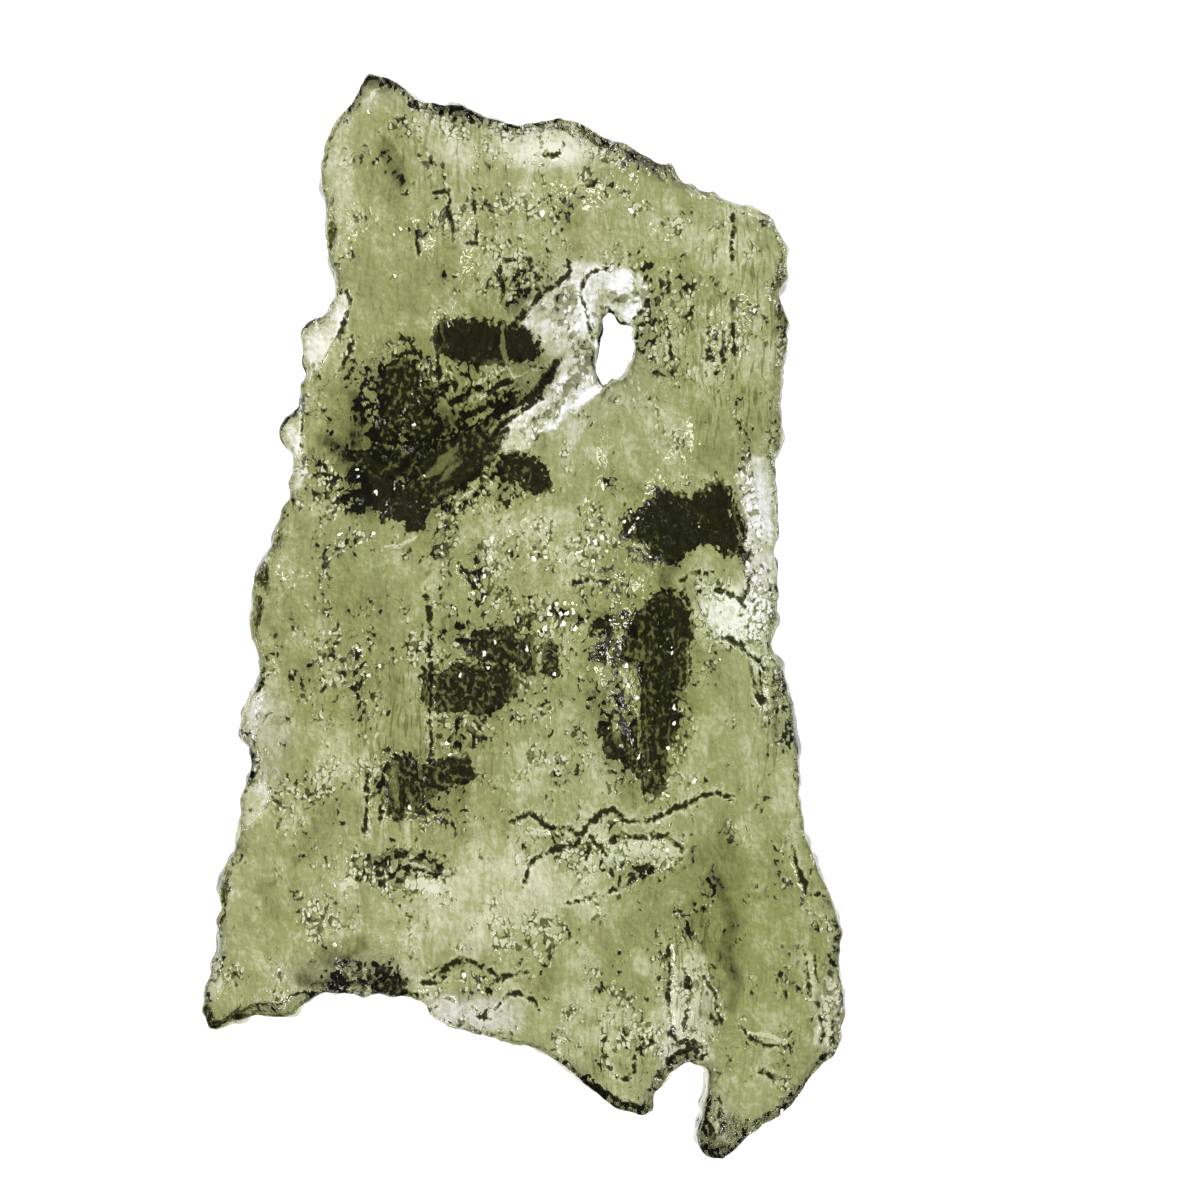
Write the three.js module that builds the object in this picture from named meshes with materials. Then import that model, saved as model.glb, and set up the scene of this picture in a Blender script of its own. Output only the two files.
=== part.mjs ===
// Moldavite: a thin, flat splash of natural green glass, etched all over with pits and long flutes.
// It lies on its belly: X is its width, Y its length, Z its thickness, and the origin is under its middle.
// The outline is drawn from above. Two relief maps, one for the back and one for the belly, close on its rim.
import * as THREE from "three";
import { ImprovedNoise } from "three/addons/math/ImprovedNoise.js";

// Driving dimensions, in millimetres
const LENGTH = 32;
const BODY_THICKNESS = 3.2;
const POINT_SPACING = 0.53;
const THINNEST_BORDER_SLIVER = 0.06;
const RIM_BULGE = 0.11;
// The share of a thin place's missing glass that is missing from the belly
const BELLY_SHARE = 0.34;
// The belly rises towards the rims by this much, and is worn flat up to the worn level
const BELLY_RISE = 1.1;
const WORN_LEVEL = -0.02;

// The outline's corners, clockwise from the top left tip, for a stone OUTLINE_LENGTH long
const OUTLINE_LENGTH = 32;
const TOP_EDGE = [
  [-4.6, 16], [-4.1, 15.95], [-3.7, 15.75], [-3.1, 15.4], [-2.5, 15.1], [-2.1, 15.3], [-1.6, 15.1],
  [-1.2, 14.85], [-0.5, 14.75], [0, 14.6], [0.8, 14.8], [1.5, 14.75], [2.1, 14.45], [2.6, 14.2],
  [3.1, 13.95], [3.7, 13.7], [4.1, 13.5], [4.6, 13.5], [4.85, 13.1], [5, 12.8], [5.8, 12.75],
  [6.3, 12.3], [7, 12.25], [7.5, 12.05],
];
const RIGHT_EDGE = [
  [7.7, 11.5], [7.9, 11.2], [7.95, 10.6], [8, 10.1], [7.8, 9.7], [7.8, 9.1], [8.05, 8.5], [7.9, 7.9],
  [7.85, 7.1], [7.8, 6.1], [7.85, 5.4], [7.8, 4.9], [7.65, 4.5], [7.7, 3.7], [7.75, 2.7], [7.65, 1.9],
  [7.75, 1.1], [7.75, 0], [7.5, -0.9], [7.9, -1.6], [8.1, -2.6], [8.25, -3.6], [8.35, -5.1],
  [8.4, -6.2], [8.7, -7.1], [9.1, -8], [9.4, -8.7], [9.5, -9.4], [9.4, -10.2], [9.6, -11.1],
  [9.5, -12.2],
];
const TONGUE = [
  [9.35, -12.8], [9.05, -13.1], [8.7, -13.4], [8.4, -13.8], [8.1, -14.2], [7.5, -14.8], [6.9, -15.1],
  [6.55, -15.4], [6.3, -15.75], [5.95, -16], [5.45, -15.9], [5.2, -15.65], [5.15, -15.15],
  [5.3, -14.5], [5.45, -13.9], [5.5, -13.4],
];
const NOTCH = [[5.35, -13.2], [5.1, -13.2], [4.7, -13.45], [4.3, -13.65], [4.3, -13.9], [4.05, -14.2]];
const BOTTOM_EDGE = [
  [4, -14.7], [3.6, -14.9], [2.9, -14.65], [2.4, -14.4], [1.9, -14], [1.35, -13.45], [0.9, -13.2],
  [0.6, -12.9], [0, -12.8], [-0.7, -12.65], [-1.3, -12.5], [-2, -12.3], [-2.5, -12.1], [-2.8, -11.7],
  [-3.2, -11.3], [-3.7, -11.35], [-4.2, -11.25], [-4.7, -11.35], [-5.3, -11.2], [-5.9, -11.25],
  [-6.3, -11.55], [-6.7, -12], [-7.4, -12], [-8.2, -12.1], [-8.9, -12.3], [-9.3, -12.4],
];
const LEFT_EDGE = [
  [-9.55, -11.7], [-9.5, -11.1], [-9.35, -10.4], [-9.1, -9.95], [-9.15, -9.4], [-9, -8.7],
  [-9.05, -8.2], [-8.9, -7.5], [-8.6, -6.9], [-8.5, -6.3], [-8.5, -5.4], [-8.2, -4.8], [-8.2, -4.2],
  [-8.45, -3.7], [-8.5, -3.2], [-8.2, -2.5], [-7.9, -1.9], [-7.8, -1.3], [-8, -0.8], [-8.1, -0.3],
  [-8, 0.3], [-8, 0.8], [-7.9, 1.2], [-7.6, 1.8], [-7.4, 2.4], [-7.25, 3.1], [-7, 3.7], [-7, 4.2],
  [-6.9, 4.6], [-6.8, 4.85], [-7.15, 5.1], [-7.3, 5.4], [-7.2, 5.8], [-6.8, 6.15], [-6.65, 6.4],
  [-6.7, 7], [-6.5, 7.3], [-6.7, 7.7], [-6.7, 8.3], [-6.4, 8.75], [-6, 9], [-5.7, 9.3], [-5.55, 9.75],
  [-5.75, 10.4], [-5.9, 10.9], [-5.8, 11.9], [-5.95, 12.6], [-5.8, 13.9], [-5.5, 14.6], [-4.9, 15.2],
  [-4.7, 15.7],
];
const OUTLINE = [...TOP_EDGE, ...RIGHT_EDGE, ...TONGUE, ...NOTCH, ...BOTTOM_EDGE, ...LEFT_EDGE];

// The thin floor of the long gouge has broken through here
const HOLE = [
  [2.5, 9.1], [2.85, 9], [3.1, 8.7], [3.4, 8.7], [3.4, 8.1], [3.3, 7.6], [3.15, 7.2], [2.7, 6.9],
  [2.35, 6.7], [2.35, 7.3], [2.3, 7.9], [2.4, 8.6],
];

// How thick the glass is where it differs from the body. Each is an ellipse: its middle, its half sizes,
// how far it is turned in degrees, the thickness there, and how soft its border is, from 0 to 1.
const THICKNESSES = [
  { name: "scoop under the top edge", at: [0.9, 13.5], half: [3.4, 1.3], turn: -10, thickness: 1.5, soft: 0.8 },
  { name: "pale notch top left", at: [-2.4, 13.9], half: [1.2, 1.2], turn: 0, thickness: 2, soft: 0.8 },
  { name: "smooth shoulder", at: [-4, 10.6], half: [2.2, 3.2], turn: 0, thickness: 3.6, soft: 0.7 },
  { name: "upper right body", at: [5, 10.3], half: [2.8, 2.8], turn: 0, thickness: 3.4, soft: 0.8 },
  { name: "upper knob", at: [-1.1, 8.2], half: [1.6, 0.9], turn: -4, thickness: 4.3, soft: 0.5 },
  { name: "knoll beside the gouge", at: [-3.4, 5.6], half: [2.6, 2.5], turn: 30, thickness: 4.6, soft: 0.6 },
  { name: "curled hollow", at: [1.2, 9.5], half: [2, 1.5], turn: 35, thickness: 1.6, soft: 0.5 },
  { name: "gouge, upper part", at: [2.3, 8], half: [1.4, 2], turn: -12, thickness: 0.7, soft: 0.3 },
  { name: "gouge, lower part", at: [0.9, 6.1], half: [1, 2.4], turn: -52, thickness: 0.7, soft: 0.3 },
  { name: "middle right plateau", at: [3.4, 4.9], half: [2.4, 1.3], turn: 0, thickness: 3.1, soft: 0.6 },
  { name: "right knob", at: [4.9, 2.8], half: [1.9, 1], turn: 6, thickness: 4.5, soft: 0.4 },
  { name: "right flange", at: [7.6, 2.4], half: [1, 2.4], turn: 0, thickness: 1, soft: 0.35 },
  { name: "right flange, lower", at: [6.9, 0], half: [1.5, 1.2], turn: -20, thickness: 1.3, soft: 0.5 },
  { name: "left middle body", at: [-6, -1], half: [1.9, 4], turn: 5, thickness: 3.7, soft: 0.8 },
  { name: "centre knob", at: [-1.2, -2], half: [1.5, 1.5], turn: 0, thickness: 4.4, soft: 0.6 },
  { name: "lower left knob", at: [-2.6, -4.9], half: [1.3, 0.9], turn: 10, thickness: 4.3, soft: 0.5 },
  { name: "right ridge", at: [3.9, -2.1], half: [1.3, 3.2], turn: 4, thickness: 4.7, soft: 0.5 },
  { name: "pale floor between the ridges", at: [1.3, -4.1], half: [1.3, 1.8], turn: 0, thickness: 2.2, soft: 0.7 },
  { name: "lens below the ledge", at: [2.8, -7.3], half: [2.4, 0.9], turn: 14, thickness: 1.7, soft: 0.4 },
  { name: "pale floor low in the middle", at: [-1.2, -7.7], half: [2.2, 1.8], turn: 0, thickness: 2, soft: 0.8 },
  { name: "pale floor low on the left", at: [-3.6, -9.5], half: [1.3, 1.4], turn: 0, thickness: 1.7, soft: 0.7 },
  { name: "bottom left body", at: [-7, -8.6], half: [1.9, 3], turn: 10, thickness: 3.7, soft: 0.8 },
  { name: "bottom right body", at: [6.9, -9.6], half: [2.2, 4.2], turn: 8, thickness: 4.8, soft: 0.8 },
  { name: "fluted gully above the notch", at: [5, -11.2], half: [0.9, 2.5], turn: 0, thickness: 1.7, soft: 0.5 },
  { name: "left lobe", at: [-6.3, 8.2], half: [0.9, 1.3], turn: -10, thickness: 0.5, soft: 0.3 },
  { name: "left bead", at: [-7.1, 5.6], half: [0.7, 0.9], turn: 0, thickness: 0.5, soft: 0.3 },
  { name: "lip on the left", at: [-7.2, 4], half: [0.5, 1], turn: -10, thickness: 0.8, soft: 0.5 },
  { name: "lips low on the left", at: [-8.5, -3.4], half: [0.5, 1.1], turn: 0, thickness: 0.8, soft: 0.5 },
  { name: "lip by the bottom left tip", at: [-9.4, -10.5], half: [0.5, 1.3], turn: 0, thickness: 0.7, soft: 0.5 },
  { name: "shelf on the bottom edge", at: [-1.7, -12.1], half: [2, 0.7], turn: -12, thickness: 1.1, soft: 0.4 },
];

// Ledges on the back: the surface drops to the right of each line as it is followed, and climbs back
// to its level over the reach
const LEDGES = [
  {
    name: "wavy ledge",
    line: [[-0.3, -6.1], [0.4, -5.95], [1.7, -6.5], [2.5, -5.75], [3.1, -6.1], [4.3, -5.9], [5.4, -5.3], [6.2, -5.35]],
    drop: 0.55,
    reach: 1.3,
  },
  { name: "curved ledge", line: [[0.1, -8], [0.4, -7.3], [1.9, -6.6]], drop: 0.4, reach: 1 },
  { name: "arc over the low left floor", line: [[-5.2, -7.5], [-4.4, -6.8], [-3.3, -7], [-2.6, -7.7]], drop: 0.5, reach: 1 },
  { name: "gouge crest", line: [[-1.2, 4.6], [-2.9, 3.6], [-4.5, 2.6]], drop: 0.5, reach: 1.1 },
  { name: "step under the top edge", line: [[-4, 15.4], [-1.2, 13.9], [1.6, 13.8], [4.6, 12.6]], drop: -0.35, reach: 0.8 },
  { name: "flange step", line: [[6.7, 4.6], [6.5, 2.6], [6.8, 0.9], [5.4, -0.4]], drop: -0.5, reach: 0.7 },
];

const LEDGE_SLOPE = 0.3;

// The rim keeps a share of the full thickness, and more of it where the edge broke off steeply: the middle
// of each break and how far it reaches
const BREAKS = [
  { name: "top edge, left", at: [-1.8, 15.1], reach: 2.4 },
  { name: "top edge, right", at: [3.2, 13.9], reach: 2.4 },
  { name: "right edge", at: [7.9, 7.6], reach: 4 },
  { name: "right edge, low", at: [9.2, -8.2], reach: 3 },
  { name: "tongue tip", at: [6, -15.7], reach: 1.6 },
  { name: "tongue side", at: [8.2, -14], reach: 2 },
  { name: "notch", at: [4.6, -13.6], reach: 1.3 },
  { name: "bottom edge, middle", at: [2.6, -14.5], reach: 1.6 },
  { name: "bottom edge, left", at: [-5, -11.4], reach: 1.9 },
  { name: "bottom left tip", at: [-8, -12], reach: 1.5 },
];
const RIM_SHARE = 0.58;
const BREAK_SHARE = 0.76;
const RIM_TAPER = 1.15;
const BREAK_TAPER = 0.6;
const THINNEST = 0.32;

// Relief that is the same kind all over
const FLUTE = { pitch: 1.6, length: 7, depth: 0.34 };
const SWELL = { size: 5, height: 0.55 };
const PIT_COUNT = 110;
const PIT_RADIUS = [0.5, 1.05];
const PIT_STRETCH = 1.5;
const PIT_STEEPNESS = 0.42;
const BACK_SEED = 11;
const BELLY_SEED = 47;

const noise = new ImprovedNoise();
const scale = LENGTH / OUTLINE_LENGTH;
const HALF_WIDTH = 9.6 * scale;

// A repeatable stream of numbers from 0 to 1
function randomStream(seed) {
  let state = seed * 7919 + 1;
  return () => {
    state = (state * 48271) % 2147483647;
    return state / 2147483647;
  };
}

function smoothLoop(corners) {
  const points = corners.map(([x, y]) => new THREE.Vector3(x * scale, y * scale, 0));
  const curve = new THREE.CatmullRomCurve3(points, true, "centripetal");
  return curve.getPoints(points.length * 3).slice(0, -1);
}

const loops = [smoothLoop(OUTLINE), smoothLoop(HOLE)];

// The nearest point on the outline or the hole, and how far inside the glass a point is
function nearestRim(x, y) {
  let best = { distance: Infinity, x: 0, y: 0 };
  let inside = false;
  for (const loop of loops) {
    for (let i = 0; i < loop.length; i++) {
      const a = loop[i];
      const b = loop[(i + 1) % loop.length];
      const dx = b.x - a.x;
      const dy = b.y - a.y;
      const along = ((x - a.x) * dx + (y - a.y) * dy) / (dx * dx + dy * dy);
      const t = THREE.MathUtils.clamp(along, 0, 1);
      const px = a.x + t * dx;
      const py = a.y + t * dy;
      const distance = Math.hypot(x - px, y - py);
      if (distance < best.distance) best = { distance, x: px, y: py };
      if (a.y > y !== b.y > y && x < a.x + ((y - a.y) * dx) / dy) inside = !inside;
    }
  }
  return { ...best, inward: inside ? best.distance : -best.distance };
}

// 1 inside an ellipse and 0 outside it, with a soft border
function ellipseMask({ at, half, turn, soft }, x, y) {
  const angle = THREE.MathUtils.degToRad(turn);
  const dx = x - at[0] * scale;
  const dy = y - at[1] * scale;
  const u = (dx * Math.cos(angle) + dy * Math.sin(angle)) / (half[0] * scale);
  const v = (dy * Math.cos(angle) - dx * Math.sin(angle)) / (half[1] * scale);
  return 1 - THREE.MathUtils.smoothstep(Math.hypot(u, v), 1 - soft, 1 + soft * 0.4);
}

function bodyThickness(x, y) {
  return THICKNESSES.reduce(
    (thickness, zone) => THREE.MathUtils.lerp(thickness, zone.thickness, ellipseMask(zone, x, y)),
    BODY_THICKNESS,
  );
}

// 1 at the middle of a broken stretch of rim and 0 away from them all
function breakAt(x, y) {
  const shares = BREAKS.map(({ at, reach }) => {
    const away = Math.hypot(x - at[0] * scale, y - at[1] * scale) / scale;
    return 1 - THREE.MathUtils.smoothstep(away, reach * 0.6, reach * 1.15);
  });
  return Math.max(...shares);
}

function glassThickness(x, y, inward) {
  const full = bodyThickness(x, y);
  const broken = breakAt(x, y);
  const rim = full * THREE.MathUtils.lerp(RIM_SHARE, BREAK_SHARE, broken);
  const taper = THREE.MathUtils.lerp(RIM_TAPER, BREAK_TAPER, broken);
  return rim + (full - rim) * (1 - Math.exp(-Math.pow(Math.max(inward, 0) / taper, 1.3)));
}

// How far the ledges lower the back at one point
function ledgeDrop(x, y) {
  let total = 0;
  for (const { line, drop, reach } of LEDGES) {
    let nearest = Infinity;
    let onLowSide = false;
    for (let i = 0; i + 1 < line.length; i++) {
      const [ax, ay] = [line[i][0] * scale, line[i][1] * scale];
      const [dx, dy] = [line[i + 1][0] * scale - ax, line[i + 1][1] * scale - ay];
      const along = THREE.MathUtils.clamp(((x - ax) * dx + (y - ay) * dy) / (dx * dx + dy * dy), 0, 1);
      const distance = Math.hypot(x - ax - along * dx, y - ay - along * dy);
      if (distance < nearest) {
        nearest = distance;
        onLowSide = dx * (y - ay) - dy * (x - ax) < 0;
      }
    }
    const step = THREE.MathUtils.smoothstep(onLowSide ? nearest : -nearest, -LEDGE_SLOPE, LEDGE_SLOPE);
    total += drop * step * Math.exp(-((nearest / (reach * scale)) ** 2));
  }
  return total;
}

// Pits scattered over one face, no two closer than their radii
function scatterPits(seed) {
  const random = randomStream(seed);
  const pits = [];
  while (pits.length < PIT_COUNT) {
    const x = (random() - 0.5) * 2 * HALF_WIDTH;
    const y = (random() - 0.5) * LENGTH;
    const radius = THREE.MathUtils.lerp(...PIT_RADIUS, random() ** 2);
    const clear = pits.every((p) => Math.hypot(p.x - x, p.y - y) > (p.radius + radius) * 0.85);
    if (clear && nearestRim(x, y).inward > radius * 0.5) pits.push({ x, y, radius });
  }
  return pits;
}

// The hollows of pits and flutes below a smooth face, in millimetres down from it
function sculpture(pits, seed, x, y) {
  const swell = noise.noise(x / SWELL.size, y / SWELL.size, seed) * SWELL.height;
  const flute = noise.noise(x / FLUTE.pitch, y / FLUTE.length, seed + 5) * FLUTE.depth;
  let pit = 0;
  for (const { x: px, y: py, radius } of pits) {
    const r = Math.hypot(x - px, (y - py) / PIT_STRETCH) / radius;
    if (r < 1) pit = Math.max(pit, radius * PIT_STEEPNESS * (1 - r * r));
  }
  return swell + flute + pit;
}

const backPits = scatterPits(BACK_SEED);
const bellyPits = scatterPits(BELLY_SEED);

// The heights of the belly and the back over one point of the plan
function heights(x, y, inward) {
  const thickness = glassThickness(x, y, inward);
  const calm = THREE.MathUtils.clamp((thickness - 0.3) / 2.2, 0.12, 1);
  const lifted = BELLY_SHARE * (BODY_THICKNESS - thickness);
  const bow = BELLY_RISE * ((x / HALF_WIDTH) ** 2 + (y / (LENGTH / 2)) ** 2);
  const under = lifted + bow + calm * sculpture(bellyPits, BELLY_SEED, x, y);
  const over = under + thickness - calm * (sculpture(backPits, BACK_SEED, x, y) + ledgeDrop(x, y));
  const belly = Math.max(under, WORN_LEVEL);
  return { belly, back: Math.max(over, belly + THINNEST) };
}

// A triangular net over the plan of the stone. Its border points lie on the outline and the hole.
function planNet() {
  const rowHeight = POINT_SPACING * Math.sin(Math.PI / 3);
  const rows = Math.ceil(LENGTH / rowHeight) + 4;
  const columns = Math.ceil((2 * HALF_WIDTH) / POINT_SPACING) + 6;
  const points = [];
  const grid = [];
  for (let j = 0; j < rows; j++) {
    grid.push([]);
    for (let i = 0; i < columns; i++) {
      const x = (i - columns / 2 + (j % 2) / 2) * POINT_SPACING;
      const y = (j - rows / 2) * rowHeight;
      const rim = nearestRim(x, y);
      const onRim = rim.distance < 0.3 * POINT_SPACING;
      grid[j].push(points.length);
      points.push(onRim ? { x: rim.x, y: rim.y, inward: 0 } : { x, y, inward: rim.inward });
    }
  }

  // The point where the side from a to b crosses the rim, made once for both its triangles
  const crossings = new Map();
  function crossing(a, b) {
    const key = Math.min(a, b) + "," + Math.max(a, b);
    if (!crossings.has(key)) {
      const t = points[a].inward / (points[a].inward - points[b].inward);
      const x = THREE.MathUtils.lerp(points[a].x, points[b].x, t);
      const y = THREE.MathUtils.lerp(points[a].y, points[b].y, t);
      const rim = nearestRim(x, y);
      crossings.set(key, points.length);
      points.push({ x: rim.x, y: rim.y, inward: 0 });
    }
    return crossings.get(key);
  }

  const triangles = [];
  function keepInside(corners) {
    const anyInside = corners.some((c) => points[c].inward > 0);
    if (!anyInside) {
      const [a, b, c] = corners.map((corner) => points[corner]);
      const anyOutside = Math.min(a.inward, b.inward, c.inward) < 0;
      const middle = nearestRim((a.x + b.x + c.x) / 3, (a.y + b.y + c.y) / 3);
      if (anyOutside || middle.inward < THINNEST_BORDER_SLIVER) return;
    }
    const kept = [];
    corners.forEach((c, k) => {
      const next = corners[(k + 1) % 3];
      if (points[c].inward >= 0) kept.push(c);
      if (points[c].inward * points[next].inward < 0) kept.push(crossing(c, next));
    });
    triangles.push([kept[0], kept[1], kept[2]]);
    if (kept.length === 4) triangles.push([kept[0], kept[2], kept[3]]);
  }
  for (let j = 0; j + 1 < rows; j++) {
    for (let i = 0; i + 1 < columns; i++) {
      const [a, b] = [grid[j][i], grid[j][i + 1]];
      const [c, d] = [grid[j + 1][i], grid[j + 1][i + 1]];
      if (j % 2) {
        keepInside([a, b, d]);
        keepInside([a, d, c]);
      } else {
        keepInside([a, b, c]);
        keepInside([b, d, c]);
      }
    }
  }
  return { points, triangles };
}

// The sides of the net that only one triangle has, in that triangle's direction
function borderSides(triangles) {
  const sides = new Set();
  for (const [a, b, c] of triangles) {
    for (const [from, to] of [[a, b], [b, c], [c, a]]) sides.add(from + "," + to);
  }
  return [...sides].map((side) => side.split(",").map(Number)).filter(([a, b]) => !sides.has(b + "," + a));
}

// The closed skin: the back, the belly, and between them a rim that bulges to the outline
function stoneGeometry() {
  const { points, triangles } = planNet();
  const border = borderSides(triangles);
  const outward = new Map();
  for (const [a, b] of border) {
    const out = new THREE.Vector2(points[b].y - points[a].y, points[a].x - points[b].x);
    for (const end of [a, b]) {
      outward.set(end, (outward.get(end) ?? new THREE.Vector2()).add(out));
    }
  }

  const positions = [];
  const back = new Map();
  const belly = new Map();
  const edge = new Map();
  const place = (map, index, x, y, z) => {
    map.set(index, positions.length / 3);
    positions.push(x, y, z);
  };
  for (const index of new Set(triangles.flat())) {
    const { x, y, inward } = points[index];
    const z = heights(x, y, inward);
    const out = outward.get(index)?.normalize();
    const bulge = out ? Math.min(RIM_BULGE, (z.back - z.belly) * 0.3) : 0;
    place(back, index, x - bulge * (out?.x ?? 0), y - bulge * (out?.y ?? 0), z.back);
    place(belly, index, x - bulge * (out?.x ?? 0), y - bulge * (out?.y ?? 0), z.belly);
    if (out) place(edge, index, x, y, (z.back + z.belly) / 2);
  }

  const faces = [];
  for (const [a, b, c] of triangles) {
    faces.push(back.get(a), back.get(b), back.get(c), belly.get(a), belly.get(c), belly.get(b));
  }
  for (const [a, b] of border) {
    for (const [upper, lower] of [[back, edge], [edge, belly]]) {
      faces.push(upper.get(a), lower.get(b), upper.get(b), upper.get(a), lower.get(a), lower.get(b));
    }
  }
  const geometry = new THREE.BufferGeometry();
  geometry.setAttribute("position", new THREE.Float32BufferAttribute(positions, 3));
  geometry.setIndex(faces);
  geometry.computeVertexNormals();
  return geometry;
}

// Moves the stone so that the middle of its box is over the origin and its worn spot is at height 0
function centred(geometry) {
  geometry.computeBoundingBox();
  const { min, max } = geometry.boundingBox;
  return geometry.translate(-(min.x + max.x) / 2, -(min.y + max.y) / 2, -min.z);
}

const bottleGreenGlass = new THREE.MeshStandardMaterial({
  color: 0x8a9460,
  roughness: 0.12,
  metalness: 0,
  transparent: true,
  opacity: 0.8,
});

const moldavite = new THREE.Mesh(centred(stoneGeometry()), bottleGreenGlass);
moldavite.name = "moldavite";

const stone = new THREE.Group();
stone.add(moldavite);

export default stone;
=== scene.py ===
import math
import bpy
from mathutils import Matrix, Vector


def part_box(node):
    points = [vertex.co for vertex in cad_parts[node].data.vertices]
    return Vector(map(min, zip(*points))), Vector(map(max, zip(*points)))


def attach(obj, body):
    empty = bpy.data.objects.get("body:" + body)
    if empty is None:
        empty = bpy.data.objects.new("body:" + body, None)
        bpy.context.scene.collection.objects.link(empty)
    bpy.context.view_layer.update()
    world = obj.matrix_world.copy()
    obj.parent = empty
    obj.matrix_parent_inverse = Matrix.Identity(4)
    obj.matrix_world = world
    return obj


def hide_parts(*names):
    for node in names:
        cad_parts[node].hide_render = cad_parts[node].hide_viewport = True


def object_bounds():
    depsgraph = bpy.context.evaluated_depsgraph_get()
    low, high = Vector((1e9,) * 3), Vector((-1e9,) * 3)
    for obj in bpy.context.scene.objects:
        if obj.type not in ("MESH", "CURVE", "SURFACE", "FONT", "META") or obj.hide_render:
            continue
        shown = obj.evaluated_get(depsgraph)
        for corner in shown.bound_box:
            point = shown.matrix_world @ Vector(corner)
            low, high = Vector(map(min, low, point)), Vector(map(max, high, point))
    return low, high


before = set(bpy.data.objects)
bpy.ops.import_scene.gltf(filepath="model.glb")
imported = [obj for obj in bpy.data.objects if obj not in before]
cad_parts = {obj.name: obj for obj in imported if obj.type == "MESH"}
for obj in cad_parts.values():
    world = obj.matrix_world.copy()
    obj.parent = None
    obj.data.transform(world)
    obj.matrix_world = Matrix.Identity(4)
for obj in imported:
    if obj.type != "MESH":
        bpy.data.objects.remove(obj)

# A thin fragment of moldavite lying on a light table, seen from straight above.
from types import SimpleNamespace

import bmesh
import bpy
import numpy as np
from mathutils import Vector, kdtree
from mathutils.bvhtree import BVHTree
from mathutils.geometry import delaunay_2d_cdt

CAD_BOX = [list(corner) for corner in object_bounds()]

# Lengths are metres unless a name or a comment says otherwise
MM = 0.001
STONE = "moldavite"
STONE_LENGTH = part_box(STONE)[1].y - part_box(STONE)[0].y

# The photograph's frame. Places on the stone below are its pixels
PHOTO_SIDE_PX = 1200
STONE_LENGTH_PX = 1074
STONE_MIDDLE_PX = (521.5, 614)
PIXEL = STONE_LENGTH / STONE_LENGTH_PX

# How fine the skin's net is, and the share of its spacing that its points keep from the rim
BACK_NET, BELLY_NET = 0.096 * MM, 0.135 * MM
RIM_STEP, RIM_ROWS = 0.1 * MM, 7
RIM_CLEARANCE = 0.6
FEWEST_RIM_CORNERS = 8

# Limits below which two places are one, and how far off the rays start that find the solid's faces
MERGE_DISTANCE = 1e-7
NET_PRECISION_MM = 1e-7
LEAST_SQUARE_PX = 1e-9
CAST_FROM = 1.0

# How the solid's coarse relief is evened out before the fine relief is laid over it
BACK_SMOOTHING_ROUNDS, BELLY_SMOOTHING_ROUNDS = 16, 16
KEPT_SHARE, NEIGHBOURS_SHARE = 0.4, 0.6
BACK_STEEPEST, BELLY_STEEPEST = math.radians(26), math.radians(22)
EASING_ROUNDS, CREASE_ROUNDS = 50, 12

# The rim: chipped along its line, dented down its wall, and bulging past the two faces, save at sharp tips
CORNER_ROUNDS, OUTWARD_ROUNDS = 3, 2
CHIP_LENGTH, CHIP_DEPTH, CHIP_LEVEL = 0.5 * MM, 0.1 * MM, 0.15
FINE_CHIP_SHARE, FINE_CHIP_PITCH = 0.45, 2.3
RIM_BULGE = 0.1 * MM
BULGE_ROUNDS = 3
BULGE_ROOM, BULGE_SHRINK = 0.85, 0.4
RIM_CHIP, RIM_CHIP_DEPTH = 0.6 * MM, 0.24 * MM
RIM_LOOPS_APART = 40

# The solid's height is read a little inside the rim, and the wall is etched as glass of this thickness is.
# The back's look fades to the belly's over these shares of the wall's height
RIM_PROBE = 0.14 * MM
RIM_ROOM = 0.6 * MM
WALL_FADE = (0.6, 1)

# The etched skin
FLUTE_PITCH, FLUTE_LENGTH, FLUTE_DEPTH = 0.42 * MM, 1.5 * MM, 0.07 * MM
PIT_SPACING, PIT_DEPTH = 0.62 * MM, 0.08 * MM
GRAIN_SIZE, GRAIN_DEPTH = 0.24 * MM, 0.03 * MM
PIT_STRETCH = 1.5
FLUTE_DETAIL, GRAIN_DETAIL = 1.5, 1.0
SKIN_SEED = 5

# Glass this thin has hardly any relief, and glass this thick has all of it
THINNEST_RELIEF, FULL_RELIEF_THICKNESS = 0.1 * MM, 1.1 * MM

# Banks round the thin panes start a step above the pane, some pixels from its border
PANE_STEP = 0.3 * MM
PANE_BANK = math.tan(math.radians(31))
PANE_BANK_START = 3
UPPER_LEFT = np.array([0.79, 0.61])
UPPER_LEFT_BORDER = (-4, 14)

# Grooves along the dark lines, which end in points and wander: swing and patch width in pixels, and seed
LINE_DEPTH, LINE_DEPTH_SHARE = 0.1 * MM, 0.25
LINE_GROOVE = (-2, 4)
LINE_WANDER = ((1.8, 15, 8), (1.0, 6, 9))
LINE_END_SHARE, LINE_END_REACH = 0.35, 12

# Numbers that scramble a place on a noise grid into a direction
SCRAMBLE_X, SCRAMBLE_Y, SCRAMBLE_SEED = 374761393, 668265263, 362437
SCRAMBLE_AGAIN, SCRAMBLE_LARGEST = 1274126177, 0x7FFFFFFF
SEEDS = {
    "chips": 3, "fine chips": 4, "rim dents": 131,
    "slanted folds": 145, "curled folds": 147, "upright folds": 149,
}

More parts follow.
